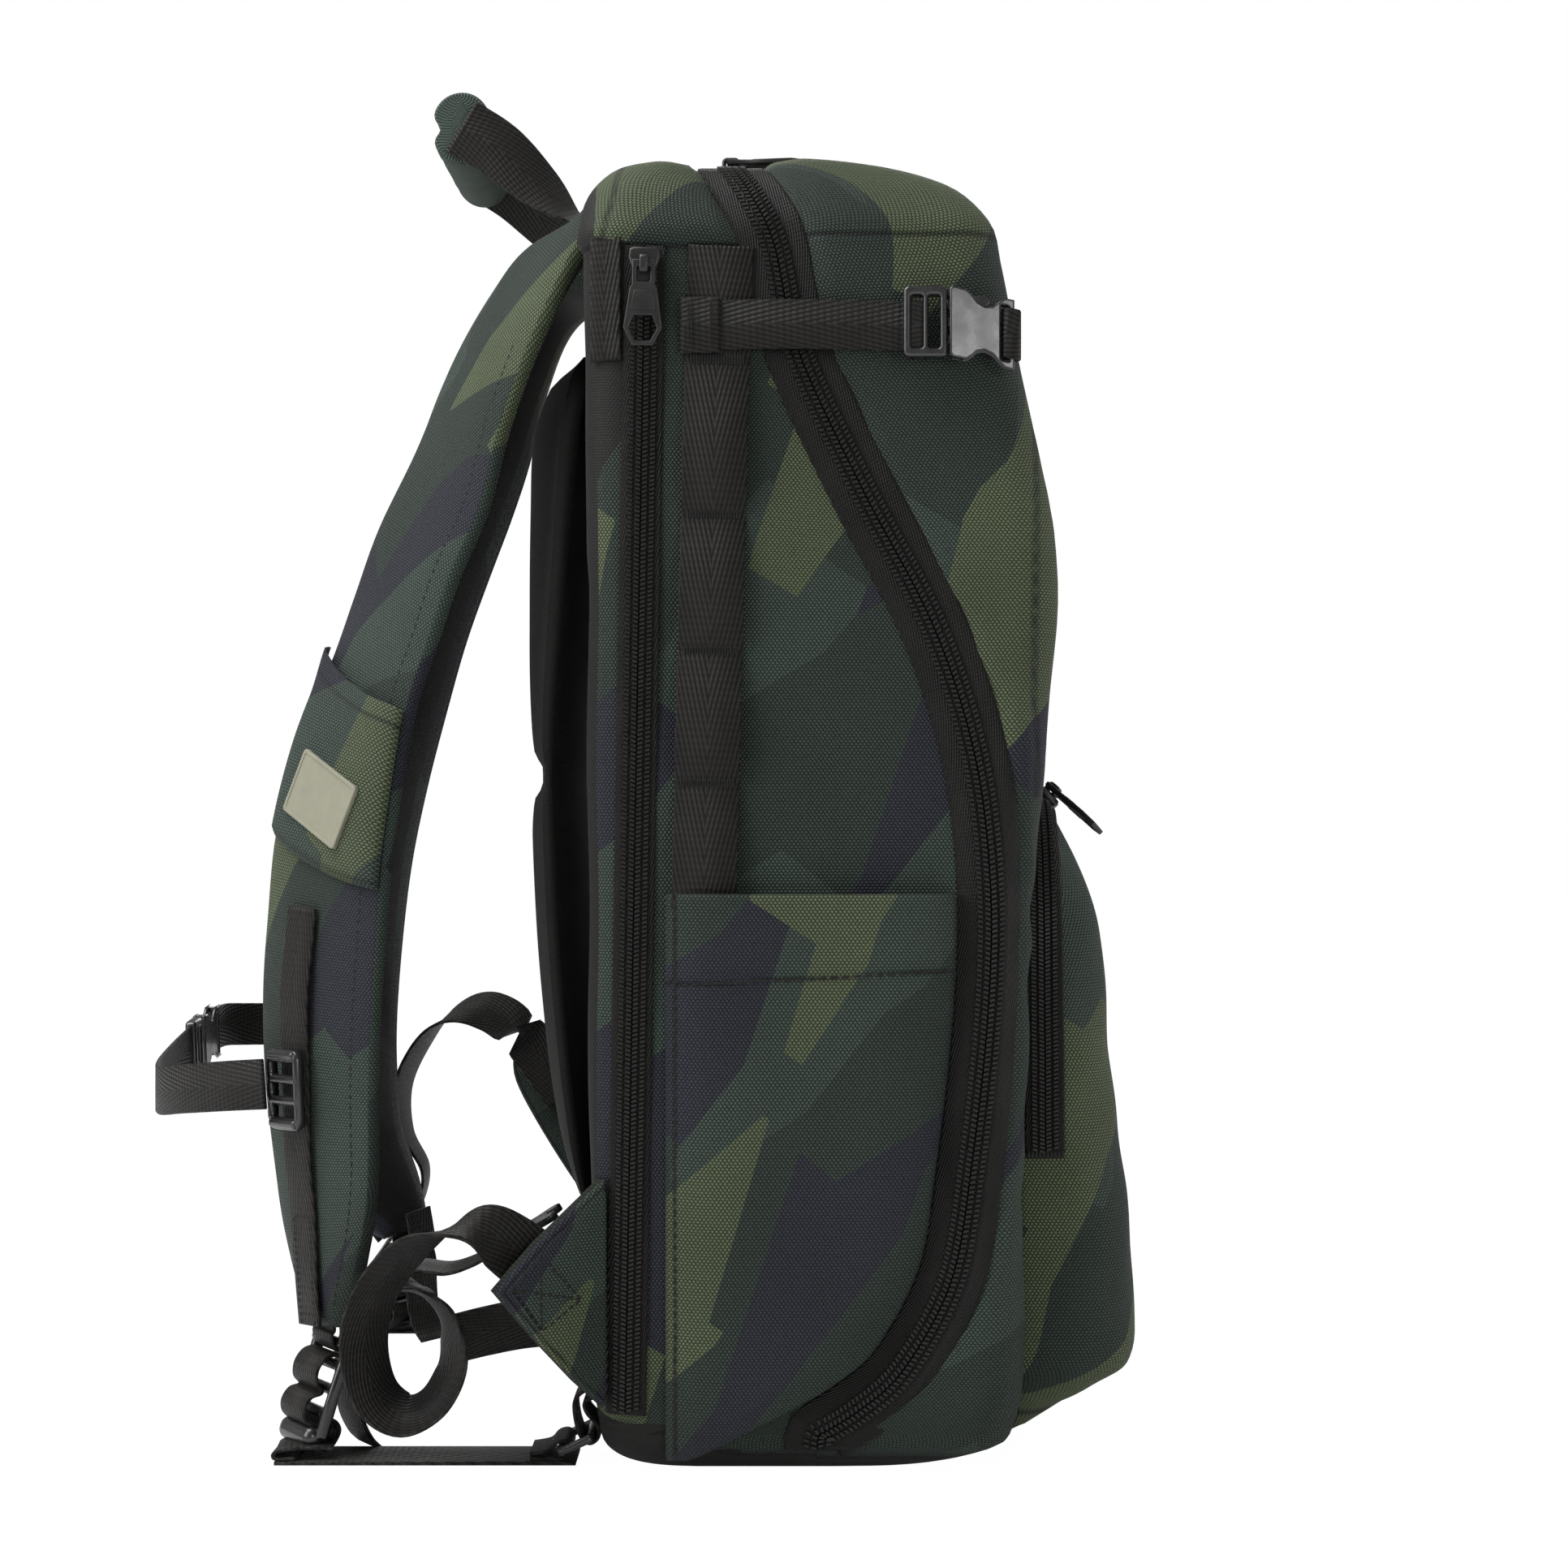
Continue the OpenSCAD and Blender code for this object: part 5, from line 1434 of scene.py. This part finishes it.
belt(
    "hip_belt_right",
    [(-112, 146.5, 112), (-132, 149.5, 138), (-150, 155, 152), (-168, 158, 152), (-184, 158, 140),
     (-196, 156, 116), (-194, 156, 92), (-185, 156, 74), (-187, 156, 58), (-194, 156, 46)],
    [(-18, 2, 16), (-18, 4, 15), (-10, 14, 17), (2, 22, 8), (6, 24, 0), (6, 24, 0), (2, 24, 0),
     (0, 24, 0), (0, 24, 0), (0, 24, 0)],
    BELT_WIDE, "hip_right", "hip_webbing_right",
)
STERNUM = {
    "left": [(-210.5, -120.6, 148), (-228, -110, 146), (-251, -86, 142), (-267, -58, 138),
             (-275, -26, 138), (-276, 4, 142), (-274, 29.5, 147)],
    "right": [(-271, 65, 152), (-269, 80, 153), (-263, 94, 152), (-252, 105, 151), (-238, 113.8, 150)],
}
for side, line in STERNUM.items():
    belt("sternum_strap_" + side, line, (0, 0, 1), 20, "sternum_strap", "sternum_webbing_" + side)
lower = ribbon("lower_strap_left", grid_of(np.linspace(-204, -86, 24), -122, 1.0), (0, 1, 0), BELT_WIDE)
settle_pair(lower, "pack", webbing, "lower_webbing_left")
handle_line = smooth_line([
    (-142, -44, 547), (-126, -45, 537), (-109, -45.5, 521), (-95, -46, 508), (-81.5, -46, 499.5),
], 8)
handle_across = smooth_line([(10, 0, 22), (13, 4, 19), (13, 14, 15), (6, 22, 6), (2, 24, 2)], 8)
ends = ribbon("handle_end_left", handle_line, handle_across, BELT_WIDE)
handle = join("handle_strap", [ends, mirrored(ends)])
foot, bend_end = (-0.0815, 0, 0.4995), (-0.0990, 0, 0.5105)
settle(handle, ("pack", "handle", foot, bend_end), webbing, "handle_webbing")

# %% The padded grip, with a sewn channel along both sides
GRIP_HALF, GRIP_X, GRIP_Z = 42, -142, 547
y = GRIP_HALF * np.sin(np.linspace(-math.pi / 2, math.pi / 2, 40))[:, None]
a = np.linspace(0, 2 * math.pi, 49)[:-1]
size = 0.9 + 0.12 * dome(GRIP_HALF - np.abs(y), 3)
waist = 1 - 0.3 * np.exp(-((np.sin(a) / 0.24) ** 2))
grid = grid_of(GRIP_X + size * (13 * np.cos(a) * waist), y, GRIP_Z + size * (15.5 * np.sin(a)))
away = unit((grid - [GRIP_X, 0, GRIP_Z]) * [1, 0, 1])
grid += 0.35 * ripple(grid, 9, 1.0)[..., None] * away
grip = loft("handle_grip_cloth", grid, grid_of(np.linspace(0, 90, 49), y), closed=True, capped=True)
face_outwards(grip)
held = np.tile(np.abs(np.sin(a)) < 0.12, (40, 1))
held[:2] = True
held[-2:] = True
stuffed(grip, held, 2.0, 1.5)
settle(grip, "handle", grip_cloth, "handle_grip")
print("harness done")

# %% [markdown]
# ## Zip sliders and pulls
# A slider is a small cast body with a bridge, and the pull hangs on that bridge. All of these parts are
# flat outlines with rounded edges, so each is drawn once as a flat curve with its holes, given its
# thickness there, and made a mesh.

# %% One slider, one pull
def slider_body(name, place, turn):
    """The body lies along the tape, and its bridge is turned as the pull is."""
    half = [(4.2, 7), (5.9, 6.2), (6.2, 3), (4.6, -1.5), (4.9, -6.4), (3.8, -7)]
    outline = half[::-1] + [(-x, y) for x, y in half]
    base = plate("body", [outline], 3.0, 0.9, place @ moved(0, 0, 2.3))
    arch = [rounded(-3.6, 3.6, -1.2, 4.5, 1.9), rounded(-1.9, 1.9, 0.6, 3.0, 0.9)]
    stand = place @ turned(turn, "Z") @ moved(0, 0, 3.9) @ turned(90, "Z") @ turned(90, "X")
    return join(name, [base, plate("bridge", arch, 3.4, 0.7, stand)])


def zip_pull(name, place, turn):
    """A tapered pull with a window at each end."""
    half = [(4.4, 1.6), (4.4, -8), (5.3, -9.4), (7.5, -24.6), (4.1, -31.4)]
    edge = half + [(-x, y) for x, y in half[::-1]]
    window = [(5.5, -24.8), (2.9, -29.6), (-2.9, -29.6), (-5.5, -24.8), (-3.4, -19.8), (3.4, -19.8)]
    at = place @ turned(turn, "Z") @ moved(0, 0, 6.0)
    flat = plate("flat", [edge, rounded(-2.6, 2.6, -7.0, -1.2, 0.8), window], 2.0, 0.45, at)
    panel = plate("panel", [[(3.7, -10.4), (4.7, -17.6), (-4.7, -17.6), (-3.7, -10.4)]], 2.6, 0.3, at)
    return join(name, [flat, panel])


lean = math.atan2(7.5, 442)
on_laptop = frame_at((-58, -151.6, 466), (math.cos(lean), 0, -math.sin(lean)), (0, -1, 0))
on_pocket = frame_at(np.array([102, -70, 259]) + 1.9 * unit([1, 0, 1]), (1, 0, -1), (1, 0, 1))
on_top_a, on_top_b = (frame_at((-26, y, 513.6), (1, 0, 0), (0, 0, 1)) for y in (-92, -58))
for name, part, place, turn in (
    ("laptop", "laptop_slider", on_laptop, 0), ("main_a", "main_slider_a", on_top_a, 90),
    ("main_b", "main_slider_b", on_top_b, 90), ("pocket", "pocket_slider", on_pocket, 45),
):
    settle(slider_body(name + "_zip_slider", place, turn), part, zip_metal, part)
    part = part.replace("slider", "pull")
    settle(zip_pull(name + "_zip_pull", place, turn), part, zip_metal, part)
print("four sliders with their pulls")

# %% [markdown]
# ## Buckles
# A side-release buckle is a socket and a pair of sprung prongs that show in its waists. The socket is
# two moulded faces with a gap for the prongs, and an end bar that carries the webbing. Thickness and
# rounded edges come with the outline, as for the sliders.

# %% Side-release buckles
def socket(name, length, high, thick, place, drop=0.0, slope=0.0):
    """Two waisted faces, a mouth and an end bar along x. The far end may hang lower and be thinner."""
    h = high / 2
    shares = (0, 0.05, 0.26, 0.35, 0.43, 0.54, 0.66, 0.75, 0.85, 1)
    waist = (0.9, 1, 0.99, 0.86, 0.70, 0.62, 0.68, 0.84, 0.99, 1)
    upper = [(share * length, h * w) for share, w in zip(shares, waist)]
    face = upper + [(x, -y) for x, y in reversed(upper)]
    window = rounded(0.79 * length, 0.92 * length, -h * 0.78, h * 0.78, 0.8)
    cheek = [(0, h * 0.97), (0.22 * length, h * 0.97), (0.22 * length, h * 0.78), (0, h * 0.78)]
    end = rounded(0.93 * length, length, -h * 0.97, h * 0.97, 0.8)
    parts = [plate("face", [face, window], 1.9, 0.8, moved(0, 0, k * (thick / 2 - 0.95))) for k in (-1, 1)]
    for outline in ([(x, -y) for x, y in cheek], cheek, end):
        parts.append(plate("inner", [outline], thick - 1.4, 0.5, Matrix()))
    piece = join(name, parts)
    p = points_of(piece)
    p[:, 1] -= drop * p[:, 0]
    p[:, 2] -= slope * (p[:, 0] - 0.3 * length) * (p[:, 2] > 0)
    move_points(piece, p)
    piece.data.transform(place)
    return piece


def prongs(name, base, reach, high, thick, place, slots):
    """A frame with slots for the webbing behind the mouth, and two prongs and a tongue ahead of it."""
    h = high / 2
    holes = [rounded(low, top, -h + 3.4, h - 3.4, 1) for low, top in slots]
    parts = [plate("frame", [rounded(-base, 0, -h, h, 2.2)] + holes, thick - 1, 1.2, place)]
    arm = [
        (-1, h * 0.62), (0.35 * reach, h * 0.6), (0.7 * reach, h * 0.74), (0.95 * reach, h * 0.72),
        (1.08 * reach, h * 0.6), (reach, h * 0.42), (0.5 * reach, h * 0.36), (-1, h * 0.34),
    ]
    for outline in (arm, [(x, -y) for x, y in arm][::-1]):
        parts.append(plate("prong", [outline], thick * 0.46, 0.7, place))
    tongue = rounded(-1, 0.72 * reach, -h * 0.12, h * 0.12, 0.8)
    parts.append(plate("tongue", [tongue], thick * 0.4, 0.5, place))
    return join(name, parts)


# %% Compression buckles, whose sockets hang down a little and slope off towards the front
at_male = frame_at((58, -159.9, 443), (1, 0, 0), (0, -1, 0))
at_female = frame_at((58.5, -160.0, 443), (1, 0, 0), (0, -1, 0))
male = prongs("compression_buckle_male_left", 17, 15.5, 27, 8, at_male, [(-14, -9.5), (-7.5, -3)])
female = socket("compression_buckle_female_left", 25, 27, 7.8, at_female, 0.2, 0.16)
tab_line = smooth_line([
    (70, -147, 441), (75, -152.5, 440), (80, -155.4, 439), (84.2, -157.0, 438.2), (85.4, -159, 438),
    (84.2, -161, 438.2), (80.6, -161.4, 438.8), (78.8, -159.4, 439),
], 8)
tab = ribbon("compression_anchor_left", tab_line, (0, 0, 1), 19, 1.4)
settle_pair(male, "compression_male_left", buckle_plastic, "compression_male_left")
settle_pair(female, "lid", buckle_plastic, "compression_female_left")
settle_pair(tab, "lid", webbing, "compression_tab_left")

# %% Sternum and hip buckles
turn_y, turn_z = math.radians(-8), math.radians(85)
way = np.array([math.cos(turn_y) * math.cos(turn_z), math.cos(turn_y) * math.sin(turn_z), -math.sin(turn_y)])
at_sternum = frame_at((-273, 42, 148.5), way, (-math.sin(turn_z), math.cos(turn_z), 0))
male = prongs("sternum_clip_male", 12, 12, 24, 6, at_sternum, [(-8.8, -3.9)])
female = socket("sternum_clip_female", 22, 24, 6, at_sternum @ moved(0.4, 0, 0))
settle(male, "sternum_strap", buckle_plastic, "sternum_buckle_male")
settle(female, "sternum_strap", buckle_plastic, "sternum_buckle_female")


def belt_end(mid):
    """The end of a belt, with x running on from it and the buckle lying flat on the webbing."""
    way = tangents(smooth_line(mid, 3))[-1]
    way[1] = 0
    return frame_at(np.array(mid[-1]) + 0.4 * unit(way), way, np.cross(unit(way), (0, -1, 0)))


left_end = belt_end([(-136, -131.5, 77), (-126, -131.5, 80), (-118, -132, 84.5)])
right_end = belt_end([(-185, 156, 74), (-187, 156, 58), (-194, 156, 46)])
male = prongs("hip_clip_male", 14.3, 14, 31, 7, left_end @ moved(14.3, 0, 0), [(-10.4, -4.7)])
female = socket("hip_clip_female", 26, 31, 7, right_end @ moved(26, 0, 0) @ turned(180, "Z"))
settle(male, "hip_left", buckle_plastic, "hip_buckle_male")
settle(female, "hip_right", buckle_plastic, "hip_buckle_female")
print("five buckles")

# %% [markdown]
# ## Strap fittings
# The sternum strap hangs on a slotted slider that the rail runs through. Each shoulder strap ends in a
# ladder lock, whose ribs hold the lower strap, and the lower strap ends at a ring on the base.

# %% Sternum sliders
SLIDER_ROW = 24
for side, path in PATHS.items():
    spot = strap_at(path, SLIDER_ROW, RAIL_U, float(crown(RAIL_U)) + 4.8 + 2.25)
    ends = [strap_at(path, SLIDER_ROW + shift, RAIL_U, 0) for shift in (-0.5, 0.5)]
    facing = along_strap(path[2], SLIDER_ROW)
    at_slider = frame_at(spot, np.cross(unit(ends[1] - ends[0]), facing), facing)
    holes = [rounded(-8, 8, low, low + 5, 1) for low in (-11, -2.5, 6)]
    parts = [plate("frame", [rounded(-10.5, 10.5, -16, 16, 4)] + holes, 4.5, 1.8, at_slider)]
    for low in (-15.4, 11.6):
        parts.append(plate("bar", [rounded(-9, 9, low, low + 3.4, 1.4)], 6.4, 1.4, at_slider))
    slider = join("sternum_slider_" + side + "_frame", parts)
    to_side(side, slider)
    settle(slider, "sternum_strap", buckle_plastic, "sternum_slider_" + side)

# %% Ladder locks and the webbing in them
lean, turn = math.radians(20), math.radians(36)
ahead = np.array([math.cos(turn), math.sin(turn), 0])
lock_out = np.array([0, 0, math.sin(lean)]) - math.cos(lean) * ahead
lock_up = np.array([0, 0, math.cos(lean)]) + math.sin(lean) * ahead
lock_side = np.array([math.sin(turn), -math.cos(turn), 0])
lock_at = np.array([-190.0, -113, 25.5])
at_lock = frame_at(lock_at, lock_side, lock_out)
holes = [rounded(-11.5, 11.5, low, low + 5.5, 1) for low in (-15.5, -6, 3.5, 13)]
half = [(13, 21), (15, 19), (14.4, 0), (15, -17), (11, -21)]
outline = half[::-1] + [(-x, y) for x, y in half]
lock = join("ladder_lock_left_frame", [
    plate("lock", [outline] + holes, 5, 1.3, at_lock),
    plate("top", [rounded(-14.5, 14.5, 17.4, 21.2, 1.6)], 7, 1.6, at_lock),
    plate("foot", [rounded(-13.5, 13.5, -22.5, -13.5, 4)], 9, 3.4, at_lock @ moved(0, 0, 1.6)),
])
settle_pair(lock, "pack", buckle_plastic, "ladder_lock_left")


def in_lock(points):
    """Points given along the lock's height and outward from it."""
    return [tuple(lock_at + up * lock_up + away * lock_out) for up, away in points]


def side_webbing(name, points, across, wide):
    """A short piece of webbing on both sides of the bag."""
    settle_pair(ribbon(name, smooth_line(points, 8), across, wide), "pack", webbing)


side_webbing("strap_end_loop_left", [
    tuple(strap_at(PATHS["left"], 30.4, -0.2, 8.2)),
    *in_lock([(25, 6.6), (21.5, 6.2), (18, 3.6), (16.6, -0.5), (18, -4), (23, -6)]),
    tuple(strap_at(PATHS["left"], 30.6, -0.2, -8.4)),
], lock_side, 17)
side_webbing("lower_strap_rolls_left", in_lock([
    (14.6, -1), (14.6, 3.4), (12.2, 7), (7.4, 8.6), (2.6, 7.4), (0.2, 4), (-1.2, 4.2), (-3.4, 7.6), (-8, 9),
    (-12, 7.2), (-13.8, 3), (-13.4, -1), (-10, -5), (-13, -9), (-19, -8), (-22, -5),
]), lock_side, 21)
side_webbing("lower_strap_tail_left", in_lock([
    (19, -4), (14, -8), (4, -12), (-6, -17), (-13, -24), (-16, -30),
]), lock_side, 21)
side_webbing("lower_strap_fold_left", [
    (-183, -119, 5.8), (-190, -120, 6.4), (-199, -121, 6), (-204.4, -122, 4.2), (-203, -122, 2.6),
    (-196, -122, 2.4),
], (0, 1, 0), 24)

# %% Anchor rings
ANCHOR_Y = -122
tilt = math.radians(25)
flat_way, up_way = (math.cos(tilt), 0, math.sin(tilt)), (-math.sin(tilt), 0, math.cos(tilt))
at_ring = frame_at((-86, ANCHOR_Y, 8.5), flat_way, up_way)
ring_outline = [rounded(-8, 8, -15, 15, 2.6), rounded(-4.6, 4.6, -11.6, 11.6, 1.2)]
ring = plate("anchor_ring_left_frame", ring_outline, 3.4, 1.5, at_ring)
settle_pair(ring, "pack", buckle_plastic, "anchor_ring_left")
TAB = [
    (-73, 30), (-81, 29.4), (-86.4, 25), (-86.2, 17), (-84, 10.4), (-80.6, 8), (-77.4, 10.4), (-77.6, 15),
    (-81.8, 20), (-82.6, 24), (-78, 26.4), (-72, 27),
]
WRAP = [(-104, 2.4), (-94, 2.0), (-89.6, 3), (-88.4, 6.4), (-90, 9.2), (-93.6, 8.6), (-97, 5.4), (-104, 4)]
for name, line, wide in (("anchor_tab_left", TAB, 18), ("lower_strap_wrap_left", WRAP, 21)):
    side_webbing(name, [(x, ANCHOR_Y, z) for x, z in line], (0, 1, 0), wide)

# %% The sheet inside the back wall keeps its CAD shape
for obj in bpy.data.objects:
    if obj.name.split(".")[0] == "frame_sheet":
        obj.data.materials.clear()
        obj.data.materials.append(stiffener)
        print("frame sheet finished as", stiffener.name)
